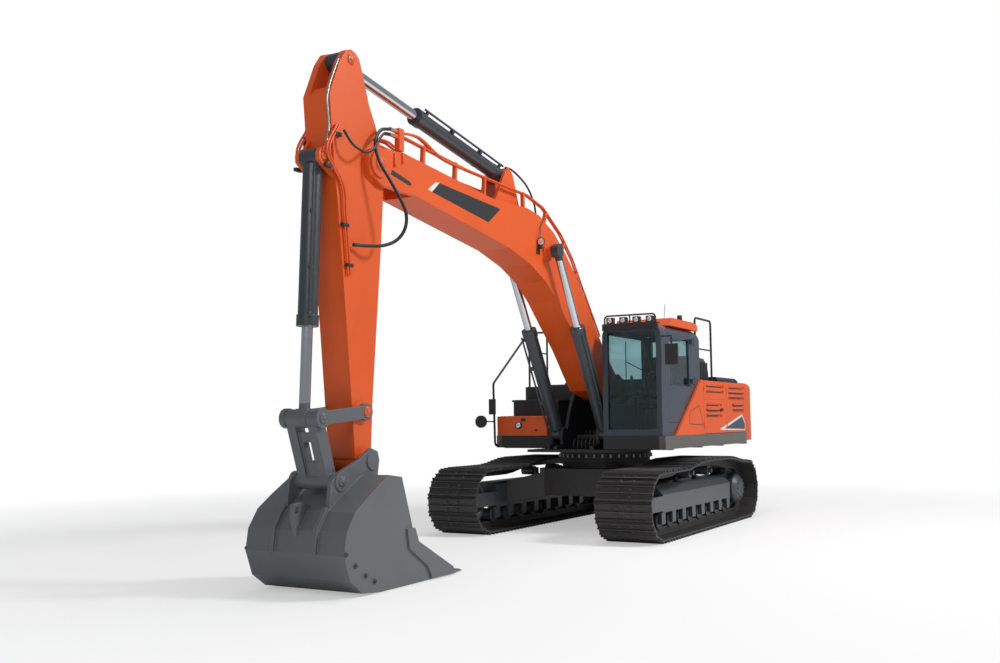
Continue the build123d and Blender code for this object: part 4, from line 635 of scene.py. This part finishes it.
def repeat(name, shape, spots, body, finish, size=(1, 1, 1)):
    """Copies of a template at spots of (point, outward way, along way)."""
    base = mesh_object(name + "_points", [place(*spot[0]) for spot in spots], [])
    turns = base.data.attributes.new("turn", "FLOAT_VECTOR", "POINT")
    for i, (point, out, along) in enumerate(spots):
        z = Vector(out).normalized()
        x = Vector(along)
        x = (x - z * x.dot(z)).normalized()
        y = z.cross(x)
        frame_turn = Matrix((x, y, z)).transposed()
        turns.data[i].vector = frame_turn.to_euler()
    modifier = base.modifiers.new("set_out", "NODES")
    modifier.node_group = set_out
    names = {item.name: item.identifier for item in set_out.interface.items_tree
             if item.in_out == "INPUT"}
    modifier[names["Template"]] = shape
    modifier[names["Size"]] = size
    modifier[names["Finish"]] = finish
    bpy.context.view_layer.update()
    graph = bpy.context.evaluated_depsgraph_get()
    mesh = bpy.data.meshes.new_from_object(base.evaluated_get(graph))
    base.modifiers.remove(modifier)
    bpy.data.objects.remove(base)
    mesh.name = name
    item = in_scene(name, mesh)
    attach(item, body)
    print(name, "copies:", len(spots), "faces:", len(mesh.polygons))
    return item


def hexagon_bolt(work):
    bmesh.ops.create_cone(work, cap_ends=True, segments=12, radius1=1.35, radius2=1.35, depth=0.2,
                          matrix=Matrix.Translation((0, 0, 0.1)))
    bmesh.ops.create_cone(work, cap_ends=True, segments=6, radius1=1.0, radius2=0.92, depth=0.8,
                          matrix=Matrix.Translation((0, 0, 0.6)))


def pressed_louvre(work):
    """Hood 1 long and 1 high, open at its lower side."""
    for x in (-0.5, 0.5):
        for y, z in ((-0.5, 0.0), (-0.5, 1.0), (0.1, 0.8), (0.5, 0.0)):
            work.verts.new((x * (0.94 if z > 0.5 else 1), y, z))
    work.verts.ensure_lookup_table()
    v = work.verts
    for a in range(4):
        b = (a + 1) % 4
        work.faces.new((v[a], v[b], v[b + 4], v[a + 4]))
    work.faces.new(v[0:4])
    work.faces.new(v[4:8])


def dark_slot(work):
    bmesh.ops.create_cube(work, size=1.0, matrix=Matrix.Translation((0, 0, 0.5)))


def grip_button(work):
    bmesh.ops.create_cone(work, cap_ends=True, segments=8, radius1=1.0, radius2=0.6, depth=0.6,
                          matrix=Matrix.Translation((0, 0, 0.3)))


bolt_shape = template("bolt_shape", hexagon_bolt)
louvre_shape = template("louvre_shape", pressed_louvre)
slot_shape = template("slot_shape", dark_slot)
button_shape = template("button_shape", grip_button)
print("templates: 4")

# %% [markdown]
# ## The tracks' bolts
# Four bolts hold each of the 49 shoes to its link, and one sees them all round the track. The chain
# runs on a path of straight runs and arcs, so we walk along that path at the link pitch and set
# four bolts out on each shoe, pointing away from it.

# %% Shoe bolts
SHOE_COUNT = 49
CHAIN_LENGTH = 10.4786
TUMBLER_X = 2.02
AXLE_HEIGHT = 0.475
PITCH_RADIUS = 0.38
HUMP_RISE = 0.095
TRACK_MIDDLE = 1.3
BOLT_LANE = 0.085
BOLT_FOOT = 0.052


def chain_line(step=0.005):
    """Chain path through the link pins, from the rear sprocket's foot, as (x, z) points."""
    line = []

    def straight(a, b):
        count = max(2, int(math.dist(a, b) / step))
        line.extend((a[0] + (b[0] - a[0]) * i / count, a[1] + (b[1] - a[1]) * i / count)
                    for i in range(count))

    def half_circle(x, start):
        count = int(math.pi * PITCH_RADIUS / step)
        for i in range(count):
            a = math.radians(start + 180 * i / count)
            line.append((x + PITCH_RADIUS * math.cos(a), AXLE_HEIGHT + PITCH_RADIUS * math.sin(a)))

    ground, run = AXLE_HEIGHT - PITCH_RADIUS, AXLE_HEIGHT + PITCH_RADIUS
    straight((-TUMBLER_X, ground), (TUMBLER_X, ground))
    half_circle(TUMBLER_X, -90)
    top = [(TUMBLER_X, run), (1.15, run), (0.15, run + HUMP_RISE), (-0.80, run + HUMP_RISE),
           (-TUMBLER_X, run)]
    for a, b in zip(top, top[1:]):
        straight(a, b)
    half_circle(-TUMBLER_X, 90)
    return line


line = chain_line()
total = sum(math.dist(a, b) for a, b in zip(line, line[1:] + line[:1]))
targets = [CHAIN_LENGTH / SHOE_COUNT * (i + share) * total / CHAIN_LENGTH
           for i in range(SHOE_COUNT) for share in (0.29, 0.71)]
shoe_spots = []
gone = 0.0
for a, b in zip(line, line[1:] + line[:1]):
    run = math.dist(a, b)
    while len(shoe_spots) < len(targets) and targets[len(shoe_spots)] <= gone + run:
        t = (targets[len(shoe_spots)] - gone) / run
        way = Vector((b[0] - a[0], 0, b[1] - a[1])).normalized()
        out = Vector((way.z, 0, -way.x))
        spot = Vector((a[0] + (b[0] - a[0]) * t, 0, a[1] + (b[1] - a[1]) * t)) + out * BOLT_FOOT
        shoe_spots.append((spot, out, way))
    gone += run
for name, side in (("shoe_bolts_left", 1), ("shoe_bolts_right", -1)):
    spots = [(Vector((p.x, side * TRACK_MIDDLE + lane, p.z)), out, way)
             for p, out, way in shoe_spots for lane in (-BOLT_LANE, BOLT_LANE)]
    repeat(name, bolt_shape, spots, "undercarriage", track_steel, (0.017, 0.017, 0.020))
print("chain path:", round(total, 3), "m")

# %% [markdown]
# ## Bolt circles and pin caps
# The slewing bearing, the final drives and the idlers are held by rings of bolts, and every pin of
# the digging arm ends in a round cap. All of them are set out from a centre, a radius and a count.

# %% Rings of bolts
def ring(centre, radius, count, out, along):
    """Spots round a centre, in the plane that faces out."""
    z = Vector(out).normalized()
    x = Vector(along).normalized()
    y = z.cross(x)
    return [(Vector(centre) + radius * (math.cos(a) * x + math.sin(a) * y), z, x)
            for a in (2 * math.pi * i / count for i in range(count))]


race_spots = ring((0, 0, 1.055), 0.71, 36, (0, 0, 1), (1, 0, 0))
repeat("bearing_bolts", bolt_shape, race_spots, "undercarriage", bare_steel, (0.016, 0.016, 0.05))
hub_spots = []
for side in (1, -1):
    for x, radius, count, node in ((-TUMBLER_X, 0.15, 12, "sprockets"),
                                   (TUMBLER_X, 0.10, 6, "idlers")):
        for a in (2 * math.pi * i / count for i in range(count)):
            px, pz = x + radius * math.cos(a), AXLE_HEIGHT + radius * math.sin(a)
            y = flank(node, px, pz, side, 0)
            if y:
                hub_spots.append((Vector((px, side * (y - 0.003), pz)), (0, side, 0), (1, 0, 0)))
repeat("hub_bolts", bolt_shape, hub_spots, "undercarriage", slate_paint, (0.014, 0.014, 0.018))

# %% Pin caps
def pin_caps(name, body, node, spots, material, radius=0.065):
    """Round cap with a stepped rim on both ends of each pin, and its bolts."""
    work = bmesh.new()
    bolts = []
    for x, z in spots:
        for side in (1, -1):
            y = flank(node, x + 0.02, z + 0.02, side)
            bar(work, (x, side * (y - 0.004), z), (x, side * (y + 0.014), z), radius, radius * 0.94,
                sides=32)
            bar(work, (x, side * (y + 0.010), z), (x, side * (y + 0.026), z), radius * 0.52,
                radius * 0.44, sides=24)
            bolts += ring((x, side * (y + 0.013), z), radius * 0.72, 4, (0, side, 0), (1, 0, 1))
    finished(name, work, body, material, 0.002)
    repeat(name + "_bolts", bolt_shape, bolts, body, bare_steel, (0.0075, 0.0075, 0.010))


pin_caps("arm_pin_caps", "boom", "boom", [ARM_PIN], orange_paint, 0.085)
pin_caps("arm_head_caps", "arm", "arm",
         [ARM_CYLINDER_HEAD, SIDE_LINK_PIN, BUCKET_PIN, BUCKET_CYLINDER_FOOT], orange_paint, 0.060)
pin_caps("link_pin_caps", "side_links", "side_links", [LINK_PIN], bucket_paint, 0.055)
pin_caps("bucket_pin_caps", "bucket", "bucket", [BUCKET_LINK_PIN], bucket_paint, 0.055)
print("pin caps on 7 pins")

# %% [markdown]
# ## Cylinders
# A barrel isn't a plain tube: it has a bolted gland where the rod comes out, a weld and a band at
# its foot, and a steel pipe along it that feeds the far end. They are laid out along the line from
# the foot pin to the head pin.

# %% Glands, bands and feed pipes
def cylinder_trim(body, foot, head, lane, reach, radius, pipe_side, rise):
    """Gland, its bolts, two bands and a feed pipe on one barrel that ends at reach."""
    f, h = Vector((foot[0], lane, foot[1])), Vector((head[0], lane, head[1]))
    way = (h - f).normalized()
    up_way = Vector((-way.z, 0, way.x)) * rise
    work = bmesh.new()
    for start, end, grow in ((reach - 0.085, reach - 0.045, 1.13),
                             (reach - 0.040, reach - 0.001, 1.08),
                             (0.20, 0.235, 1.06), (0.60, 0.625, 1.04)):
        collar(work, f + way * start, f + way * end, radius * 0.96, radius * grow)
    finished(body + "_gland", work, body, barrel_paint, 0.003)
    spots = [(spot, -way, along) for spot, _, along
             in ring(f + way * (reach - 0.085), radius * 1.04, 12, way, (0, 1, 0))]
    repeat(body + "_gland_bolts", bolt_shape, spots, body, bare_steel, (0.009, 0.009, 0.012))
    side = Vector((0, pipe_side, 0))
    lead = (side * 0.75 + up_way * 0.66).normalized()
    work = bmesh.new()
    line = [f + way * along + lead * (radius + rise_by) for along, rise_by in (
        (0.16, 0.004), (0.17, 0.040), (0.24, 0.042), (reach - 0.20, 0.042),
        (reach - 0.13, 0.040), (reach - 0.12, 0.0))]
    tube(work, smooth_route(line, 5), 0.014, 12)
    for share in (0.33, 0.66):
        at = f + way * (reach * share) + lead * (radius + 0.014)
        bar(work, at - way * 0.018, at + way * 0.018, 0.030, sides=14)
    for at in (f + way * 0.165, f + way * (reach - 0.125)):
        bar(work, at + lead * (radius - 0.01), at + lead * (radius + 0.034), 0.026, sides=6)
    finished(body + "_pipe", work, body, barrel_paint, 0.0)


def barrel_reach(node, foot, head, lane):
    """How far a barrel's solid reaches from its foot pin towards the rod."""
    a = place(foot[0], lane, foot[1])
    way = (place(head[0], lane, head[1]) - a).normalized()
    return max((v.co - a).dot(way) for v in nodes[node].data.vertices)


for node, foot, head, lane, radius, pipe_side, rise in (
        ("boom_barrel_left", BOOM_CYLINDER_FOOT, BOOM_CYLINDER_HEAD, 0.385, 0.090, 1, -1),
        ("boom_barrel_right", BOOM_CYLINDER_FOOT, BOOM_CYLINDER_HEAD, -0.385, 0.090, -1, -1),
        ("arm_barrel", ARM_CYLINDER_FOOT, ARM_CYLINDER_HEAD, 0.0, 0.093, 1, 1),
        ("bucket_barrel", BUCKET_CYLINDER_FOOT, LINK_PIN, 0.0, 0.078, 1, 1)):
    reach = barrel_reach(node, foot, head, lane)
    cylinder_trim(node, foot, head, lane, reach, radius, pipe_side, rise)
    print(node, "reaches", round(reach, 3))

# %% [markdown]
# ## Side doors
# The engine's air comes in through pressed louvres in four groups, beside and above each other. We
# give each group its length, its lowest and highest louvre and a count, and the tree sets them out,
# each over a black strip that is painted shade in its opening.

# %% Louvres
louvre_groups = {
    "left_front_door": ((-0.50, -1.30, 2.062, 2.145, 2), (-0.50, -1.12, 1.700, 1.855, 3)),
    "left_rear_door": ((-1.62, -2.42, 1.990, 2.140, 3), (-1.87, -2.42, 1.790, 1.860, 2)),
}
for door, groups in louvre_groups.items():
    for number, (start, end, low, high, count) in enumerate(groups, 1):
        x, length = (start + end) / 2, abs(end - start)
        hoods, painted_shade_slots = [], []
        for i in range(count):
            z = low + (high - low) * i / (count - 1)
            y = flank(door, x, z, 1, 1.495) - 0.001
            hoods.append((Vector((x, y, z)), (0, 1, 0), (1, 0, 0)))
            painted_shade_slots.append((Vector((x, y, z - 0.022)), (0, 1, 0), (1, 0, 0)))
        repeat(f"{door}_louvres_{number}", louvre_shape, hoods, door, orange_paint,
               (length, 0.040, 0.016))
        # Black strips just below the hoods: painted shade in the louvres' openings
        repeat(f"{door}_slots_{number}", slot_shape, painted_shade_slots, door, black_paint,
               (length * 0.97, 0.022, 0.003))

# %% Crease, flap, band and handles
work = bmesh.new()
door_y = flank("left_front_door", -0.9, 1.60, 1, 1.495)
block(work, (-1.40, door_y - 0.002, 1.926), (-0.40, door_y + 0.006, 1.938))
finished("front_door_crease", work, "left_front_door", orange_paint, 0.003)
work = bmesh.new()
block(work, (-2.56, door_y - 0.002, 1.926), (-1.48, door_y + 0.006, 1.938))
finished("rear_door_crease", work, "left_rear_door", orange_paint, 0.003)


def frame_strip(work, corners, width, y_low, y_high):
    """Narrow strip that follows a closed outline in the side view."""
    for a, b in zip(corners, corners[1:] + corners[:1]):
        run = Vector((b[0] - a[0], b[1] - a[1])).normalized() * width
        out = Vector((-run.y, run.x)) / 2
        plate(work, [(a[0] - out.x, a[1] - out.y), (b[0] - out.x, b[1] - out.y),
                     (b[0] + out.x, b[1] + out.y), (a[0] + out.x, a[1] + out.y)], y_low, y_high)


work = bmesh.new()
panel_y = flank("side_panel", 0.15, 1.65, 1, 1.495)
frame_strip(work, [(0.30, 1.73), (-0.12, 1.82), (-0.30, 1.53), (0.33, 1.55)], 0.010,
            panel_y - 0.002, panel_y + 0.0015)
finished("side_flap_seam", work, "house", black_paint, 0.0)
work = bmesh.new()
block(work, (-1.30, door_y - 0.002, 1.735), (-1.20, door_y + 0.004, 1.790))
bar(work, (-1.28, door_y + 0.014, 1.762), (-1.22, door_y + 0.014, 1.762), 0.008)
finished("front_door_latch", work, "left_front_door", black_paint, 0.002)
door_gap = (node_range("left_rear_door", 0)[1] + node_range("left_front_door", 0)[0]) / 2 - SWING_X
print("gap between the left doors at", round(door_gap, 3))
for door, keep in (("left_front_door", 1), ("left_rear_door", -1)):
    edge = door_gap + keep * 0.012
    for part, outline, rise, finish in (
            ("edge", [(-2.355, 1.690), (-1.13, 1.458), (-1.24, 1.440), (-2.52, 1.425),
                      (-2.53, 1.545)], 0.0010, white_film),
            ("band", [(-2.355, 1.655), (-1.36, 1.462), (-2.50, 1.440), (-2.51, 1.530)],
             0.0018, cab_paint)):
        work = bmesh.new()
        plate(work, half(outline, edge, keep), door_y - 0.001, door_y + rise)
        finished(f"{door}_{part}", work, door, finish, 0.0)
print("door fittings made")

# %% [markdown]
# ## Band, lamp and brackets on the boom
# A dark slanted band with a white flash lies on each side of the boom. It is thin film, so it is a
# plate about a millimetre thick that follows the flat side. A work lamp hangs on a bracket lower
# down, with its cable clipped up the side.

# %% Boom band
for name, side in (("left", 1), ("right", -1)):
    y = flank("boom", 4.5, 4.25, side, 0.23)
    for part, outline, finish in (
            ("flash", [(5.364, 4.235), (5.208, 4.347), (5.123, 4.354), (5.282, 4.222)],
             white_film),
            ("band", [(5.123, 4.354), (5.282, 4.222), (4.001, 4.080), (3.693, 4.300)],
             black_paint)):
        work = bmesh.new()
        plate(work, outline, *sorted((side * (y - 0.001), side * (y + 0.0012))))
        finished(f"boom_{part}_{name}", work, "boom", finish, 0.0)

# %% Lamp and brackets
def work_lamp(name, body, at, way, size=0.045):
    """Square lamp with a lens, a rim and a foot."""
    at, way = Vector(at), Vector(way).normalized()
    work = bmesh.new()
    bar(work, at - way * size * 0.9, at + way * size * 0.6, size * 0.75, size * 1.15, sides=20)
    bar(work, at + way * size * 0.55, at + way * size * 0.80, size * 1.25, sides=20)
    bar(work, at - Vector((0, 0, size * 1.9)), at, size * 0.25, sides=12)
    finished(name, work, body, black_paint, 0.003)
    work = bmesh.new()
    bar(work, at + way * size * 0.70, at + way * size * 0.90, size * 1.05, size * 0.9, sides=24)
    finished(name + "_lens", work, body, lamp_lens, 0.001)


lamp_lens = plain_finish("lamp_lens", (0.75, 0.77, 0.80), 0.10, 0.6, 90, 0.05, 0.0015)
work_lamp("boom_lamp_left", "boom", (2.66, 0.285, 4.03), (1, 0.1, -0.15))
work_lamp("boom_lamp_right", "boom", (2.66, -0.285, 4.03), (1, -0.1, -0.15))
for side, name in ((1, "left"), (-1, "right")):
    work = bmesh.new()
    y = side * flank("boom", 2.7, 4.0, side, 0.23)
    block(work, (2.62, y - side * 0.004, 3.86), (2.72, y + side * 0.010, 3.93))
    plate(work, [(2.64, 3.93), (2.68, 3.93), (2.68, 4.00), (2.64, 4.00)],
          *sorted((y - side * 0.004, y + side * 0.060)))
    cable = [(x, y + side * off, z) for x, off, z in (
        (2.66, 0.030, 4.07), (2.63, 0.022, 4.16), (2.60, 0.010, 4.25), (2.50, 0.012, 4.36))]
    tube(work, smooth_route(cable), 0.006, 8)
    finished("boom_lamp_bracket_" + name, work, "boom", black_paint, 0.002)
work = bmesh.new()
for side in (1, -1):
    y = side * flank("boom", 6.0, 4.35, side, 0.23)
    for x, low, high in ((6.02, 4.35, 4.50), (5.87, 4.42, 4.54)):
        block(work, (x - 0.012, y - side * 0.004, low), (x + 0.012, y + side * 0.018, high))
        bar(work, (x, y, low + 0.02), (x, y + side * 0.030, low + 0.02), 0.012)
finished("boom_tip_clips", work, "boom", orange_paint, 0.002)
# Dark plate in the recess near the boom's tip: painted shade
work = bmesh.new()
for side in (1, -1):
    y = side * flank("boom", 5.9, 4.26, side, 0.23)
    plate(work, [(6.085, 4.262), (6.060, 4.315), (5.720, 4.250), (5.690, 4.222), (5.740, 4.205)],
          *sorted((y - side * 0.002, y + side * 0.003)))
finished("boom_tip_recess", work, "boom", frame_paint, 0.001)
print("boom band, lamps and brackets made")

# %% [markdown]
# ## Pipes and their manifold at the boom's tip
# Steel pipes run along the boom's back to a block at its tip, where the flexible hoses begin. On
# the arm, pipes go down its front edge to the bucket's cylinder. Steel pipes are held by clamps.

# %% Manifold and arm pipes
work = bmesh.new()
for side in (1, -1):
    block(work, (5.86, side * 0.182, 4.55), (5.95, side * 0.25, 4.80))
    for z in (4.70, 4.76):
        bar(work, (5.94, side * 0.214, z), (6.01, side * 0.214, z), 0.026, sides=6)
finished("tip_manifold", work, "boom", orange_paint, 0.004)
work = bmesh.new()
for side in (1, -1):
    for lane, drop in ((0.195, 0.0), (0.232, 0.012)):
        run = [(x, side * lane, z - drop) for x, z in (
            (5.92, 4.765), (5.60, 4.800), (5.43, 4.775),
            (5.20, 4.700), (4.95, 4.655), (4.60, 4.640))]
        tube(work, smooth_route(run), 0.015, 12)
finished("tip_pipes", work, "boom", orange_paint, 0.0)
work = bmesh.new()
for side in (1, -1):
    for z in (4.70, 4.76):
        bar(work, (6.00, side * 0.214, z), (6.08, side * 0.214, z), 0.021, sides=16)
finished("tip_fittings", work, "boom", bare_steel, 0.001)
arm_front = {}
for z in (4.9, 4.6, 4.3, 4.0, 3.7, 3.4, 3.1):
    found = touch("arm", (9.0, 0.12, z), (-1, 0, 0))
    arm_front[z] = 7.0 if found is None else found.x
print("arm front edge:", {z: round(x, 3) for z, x in arm_front.items()})
work = bmesh.new()
for side in (1, -1):
    y = side * (flank("arm", 6.75, 3.9, side, 0.17) + 0.022)
    for back in (0.055, 0.095):
        run = [(arm_front[z] - back, y, z) for z in (4.6, 4.3, 4.0, 3.7, 3.4, 3.1)]
        tube(work, smooth_route(run), 0.012, 10)
finished("arm_pipes", work, "arm", orange_paint, 0.0)
work = bmesh.new()
for side in (1, -1):
    y = side * flank("arm", 6.75, 3.9, side, 0.17)
    for z in (4.5, 4.15, 3.6, 3.2):
        x = arm_front[min(arm_front, key=lambda level: abs(level - z))]
        block(work, (x - 0.125, y - side * 0.003, z - 0.018),
              (x - 0.028, y + side * 0.040, z + 0.018))
finished("arm_pipe_clamps", work, "arm", black_paint, 0.003)
work = bmesh.new()
feed = []
for z in (5.30, 5.15, 5.00, 4.85, 4.70, 4.55, 4.40):
    found = touch("arm", (9.0, 0.145, z), (-1, 0, 0))
    feed.append(((7.0 if found is None else found.x) + 0.016, 0.145, z))
tube(work, smooth_route(feed), 0.012, 10)
finished("arm_feed_pipe", work, "arm", bare_steel, 0.0)

# %% [markdown]
# ## Hydraulic hoses
# Hoses bridge the joint between boom and arm. Each is a fixed length of stiff rubber that leaves a
# fitting, bows outwards, and goes back into a fitting. Its curve is drawn through points.

# %% Hoses across the joint
def hose(name, points, diameter):
    """Free hose through points, from one fitting to another."""
    line = smooth_route(points, 10)
    work = bmesh.new()
    tube(work, line, diameter / 2, 14)
    bmesh.ops.recalc_face_normals(work, faces=work.faces)
    mesh = bpy.data.meshes.new(name)
    work.to_mesh(mesh)
    work.free()
    mesh.shade_smooth()
    mesh.materials.append(hose_rubber)
    item = in_scene(name, mesh)
    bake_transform(item)


hose("long_hose_left", [(6.07, 0.214, 4.76), (6.28, 0.235, 4.69), (6.44, 0.285, 4.50),
                        (6.43, 0.34, 4.30), (6.34, 0.40, 4.13), (6.25, 0.45, 3.97),
                        (6.18, 0.48, 3.83), (6.157, 0.48, 3.71), (6.19, 0.46, 3.59),
                        (6.28, 0.42, 3.49),
                        (6.42, 0.36, 3.43), (6.57, 0.28, 3.415), (6.72, 0.215, 3.41)],
     0.036)
for side, name in ((1, "left"), (-1, "right")):
    hose("upper_hose_" + name, [(6.07, side * 0.214, 4.70), (6.24, side * 0.26, 4.665),
                                (6.39, side * 0.30, 4.56), (6.51, side * 0.33, 4.44),
                                (6.65, side * 0.34, 4.36), (6.77, side * 0.33, 4.365),
                                (6.86, side * 0.30, 4.42), (6.92, side * 0.25, 4.54)],
         0.028)
hose("cylinder_hose", [(3.32, 0.10, 4.93), (3.17, 0.11, 4.93), (2.93, 0.12, 4.86),
                       (2.72, 0.12, 4.76), (2.55, 0.12, 4.58), (2.49, 0.12, 4.375)],
     0.026)

# %% [markdown]
# ## The operator's seat
# Foam under cloth is crowned, and its sides pull in between the corners. A closed box with many
# faces is pushed out along a soft bell on each side, and drawn in a little at its corners.

# %% Cushions
def cushion(name, low, high, crown, lean=0.0):
    """Padded block between two corners that bulges by crown and leans back by lean radians."""
    a, b = Vector(low), Vector(high)
    middle, size = (a + b) / 2, (b - a) / 2
    work = bmesh.new()
    bmesh.ops.create_cube(work, size=2.0)
    bmesh.ops.subdivide_edges(work, edges=work.edges, cuts=7, use_grid_fill=True)
    for vert in work.verts:
        x, y, z = vert.co
        bell = [(1 - x ** 4), (1 - y ** 4), (1 - z ** 4)]
        round_off = 1 - 0.05 * (x * x * y * y + y * y * z * z + z * z * x * x)
        grow = Vector((crown * x ** 3 * bell[1] * bell[2], crown * y ** 3 * bell[0] * bell[2],
                       crown * z ** 3 * bell[0] * bell[1]))
        point = Vector(v * (half_size - crown) for v, half_size in zip(vert.co, size))
        point = point * round_off + grow
        point.rotate(Euler((0, -lean, 0)))
        vert.co = place(*(middle + point))
    item = finished(name, work, "house", seat_cloth, 0.0, 80)
    return item


seat_low = min(v.co.z for v in nodes["seat"].data.vertices)
seat_mid = sum(v.co.y for v in nodes["seat"].data.vertices) / len(nodes["seat"].data.vertices)
cushions = [cushion("seat_cushion", (0.09, seat_mid - 0.24, seat_low + 0.34),
                    (0.57, seat_mid + 0.24, seat_low + 0.46), 0.018),
            cushion("seat_back", (0.065, seat_mid - 0.22, seat_low + 0.47),
                    (0.165, seat_mid + 0.22, seat_low + 0.93), 0.016, 0.10),
            cushion("seat_headrest", (0.045, seat_mid - 0.13, seat_low + 0.95),
                    (0.115, seat_mid + 0.13, seat_low + 1.07), 0.012, 0.10)]
work = bmesh.new()
block(work, (0.13, seat_mid - 0.14, seat_low + 0.001), (0.50, seat_mid + 0.14, seat_low + 0.33))
for side in (1, -1):
    y = sorted((seat_mid + side * 0.252, seat_mid + side * 0.348))
    block(work, (0.14, y[0], seat_low + 0.39), (0.65, y[1], seat_low + 0.60))
    # Two parts each of a side lever and a travel lever: x, height, x, height, radii
    for lane, x1, z1, x2, z2, foot_radius, tip_radius in (
            (0.30, 0.58, 0.59, 0.59, 0.74, 0.012, None),
            (0.30, 0.59, 0.73, 0.595, 0.83, 0.024, 0.017),
            (0.10, 0.88, 0.02, 0.84, 0.52, 0.010, None),
            (0.10, 0.838, 0.51, 0.832, 0.60, 0.019, 0.016)):
        bar(work, (x1, seat_mid + side * lane, seat_low + z1),
            (x2, seat_mid + side * lane, seat_low + z2), foot_radius, tip_radius)
    block(work, (0.80, seat_mid + side * 0.15 - 0.05, seat_low + 0.02),
          (0.98, seat_mid + side * 0.15 + 0.05, seat_low + 0.05))
finished("seat_consoles", work, "house", black_paint, 0.006)
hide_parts("seat")
print("cushions:", len(cushions))

# %% [markdown]
# ## Cab fittings, ribs and grips
# Lenses, a wiper, a beacon and an aerial finish the cab. The intake box has upright ribs, and the
# walkways have grip buttons, all set out by the tree.

# %% Lamps of the cab and the tool box
work = bmesh.new()
for i in range(4):
    lamp_y = 0.59 + 0.115 + i * (1.42 - 0.59 - 0.23) / 3
    bar(work, (1.383, lamp_y, 3.029), (1.391, lamp_y, 3.029), 0.036, 0.030, sides=20)
finished("roof_lamp_lenses", work, "house", lamp_lens, 0.001)
work = bmesh.new()
roof = node_range("cab_roof", 2)[1]
roof_x = [v - SWING_X for v in node_range("cab_roof", 0)]
beacon_x = roof_x[0] + 0.30
top = touch("cab_roof", (beacon_x, 1.25, 5.0), (0, 0, -1))
top = roof if top is None else top.z
bar(work, (beacon_x, 1.25, top - 0.004), (beacon_x, 1.25, top + 0.03), 0.055, 0.050, sides=24)
bar(work, (beacon_x, 1.25, top + 0.03), (beacon_x, 1.25, top + 0.115), 0.042, 0.036, sides=24)
aerial = touch("cab_roof", (roof_x[1] - 0.12, 1.30, 5.0), (0, 0, -1))
if aerial is not None:
    bar(work, (aerial.x, 1.30, aerial.z - 0.003), (aerial.x - 0.05, 1.30, aerial.z + 0.22),
        0.004, sides=8)
finished("beacon", work, "house", black_paint, 0.003)
work = bmesh.new()
glass_front = node_range("cab_glass", 0)[1] - SWING_X
bar(work, (glass_front + 0.012, 1.33, 2.22), (glass_front + 0.012, 0.92, 2.44), 0.007, sides=10)
block(work, (glass_front + 0.002, 0.905, 2.20), (glass_front + 0.012, 0.917, 2.72))
bar(work, (glass_front - 0.010, 1.33, 2.22), (glass_front + 0.022, 1.33, 2.22), 0.022, sides=14)
finished("wiper", work, "house", black_paint, 0.001)
found = touch("tool_box", (3.0, -1.10, 1.55), (-1, 0, 0))
box_front = 0.80 if found is None else found.x
work = bmesh.new()
bar(work, (box_front - 0.004, -1.10, 1.55), (box_front + 0.018, -1.10, 1.55), 0.055, sides=24)
block(work, (box_front - 0.004, -1.06, 1.61), (box_front + 0.004, -0.98, 1.66))
bar(work, (box_front - 0.004, -0.80, 1.47), (box_front + 0.012, -0.80, 1.47), 0.020, sides=12)
finished("tool_box_lamp", work, "house", black_paint, 0.003)
work = bmesh.new()
bar(work, (box_front + 0.014, -1.10, 1.55), (box_front + 0.026, -1.10, 1.55), 0.044, 0.038,
    sides=24)
finished("tool_box_lamp_lens", work, "house", lamp_lens, 0.001)

# %% Ribs and grip buttons
ribs = []
for i in range(9):
    x = -0.56 - 0.078 * i
    y = flank("intake_box", x, 2.38, 1, 0)
    if y:
        ribs.append((Vector((x, y - 0.002, 2.38)), (0, 1, 0), (0, 0, 1)))
repeat("intake_ribs", slot_shape, ribs, "house", black_paint, (0.28, 0.030, 0.012))
grips = []
for node, x_from, x_to, y_from, y_to in (("tank_steps", -0.95, 0.28, -1.42, -0.70),
                                         ("tool_box", 0.36, 0.76, -1.42, -0.70)):
    for i in range(int((x_to - x_from) / 0.08) + 1):
        for k in range(int((y_to - y_from) / 0.08) + 1):
            top = touch(node, (x_from + 0.08 * i, y_from + 0.08 * k, 4.0), (0, 0, -1))
            if top is not None and top.z > 1.6:
                grips.append((top - Vector((0, 0, 0.001)), (0, 0, 1), (1, 0, 0)))
repeat("grip_buttons", button_shape, grips, "house", black_paint, (0.014, 0.014, 0.012))

# %% [markdown]
# ## Bucket
# Bolts hold the side cutters to the bucket's flanks.

# %% Cutter bolts
cutter_spots = []
for side in (1, -1):
    for x, z in ((7.32, 0.42), (7.18, 0.30), (7.02, 0.19), (6.88, 0.12)):
        y = flank("bucket", x, z, side, 0)
        if y > 0.5:
            cutter_spots.append((Vector((x, side * (y - 0.002), z)), (0, side, 0), (1, 0, 0)))
if cutter_spots:
    repeat("cutter_bolts", bolt_shape, cutter_spots, "bucket", track_steel, (0.020, 0.020, 0.022))

# %% [markdown]
# ## Valves behind the boom's foot
# Between the frame's main plates lies the valve block. Its steel pipes turn down into the deck.

# %% Valve block
work = bmesh.new()
block(work, (0.30, -0.20, 1.22), (0.62, 0.20, 1.40))
for i in range(6):
    y = -0.165 + 0.066 * i
    bar(work, (0.34, y, 1.39), (0.34, y, 1.46), 0.022, sides=6)
    bar(work, (0.61, y, 1.33), (0.68, y, 1.33), 0.024, sides=6)
finished("valve_block", work, "house", frame_paint, 0.004)
work = bmesh.new()
for i in range(6):
    y = -0.165 + 0.066 * i
    tube(work, smooth_route([(0.67, y, 1.33), (0.74, y, 1.335), (0.79, y, 1.30), (0.80, y, 1.24),
                             (0.80, y, 1.19)], 5), 0.016, 10)
finished("valve_pipes", work, "house", black_paint, 0.0)

# %% Templates go
for shape in (bolt_shape, louvre_shape, slot_shape, button_shape):
    bpy.data.objects.remove(shape)
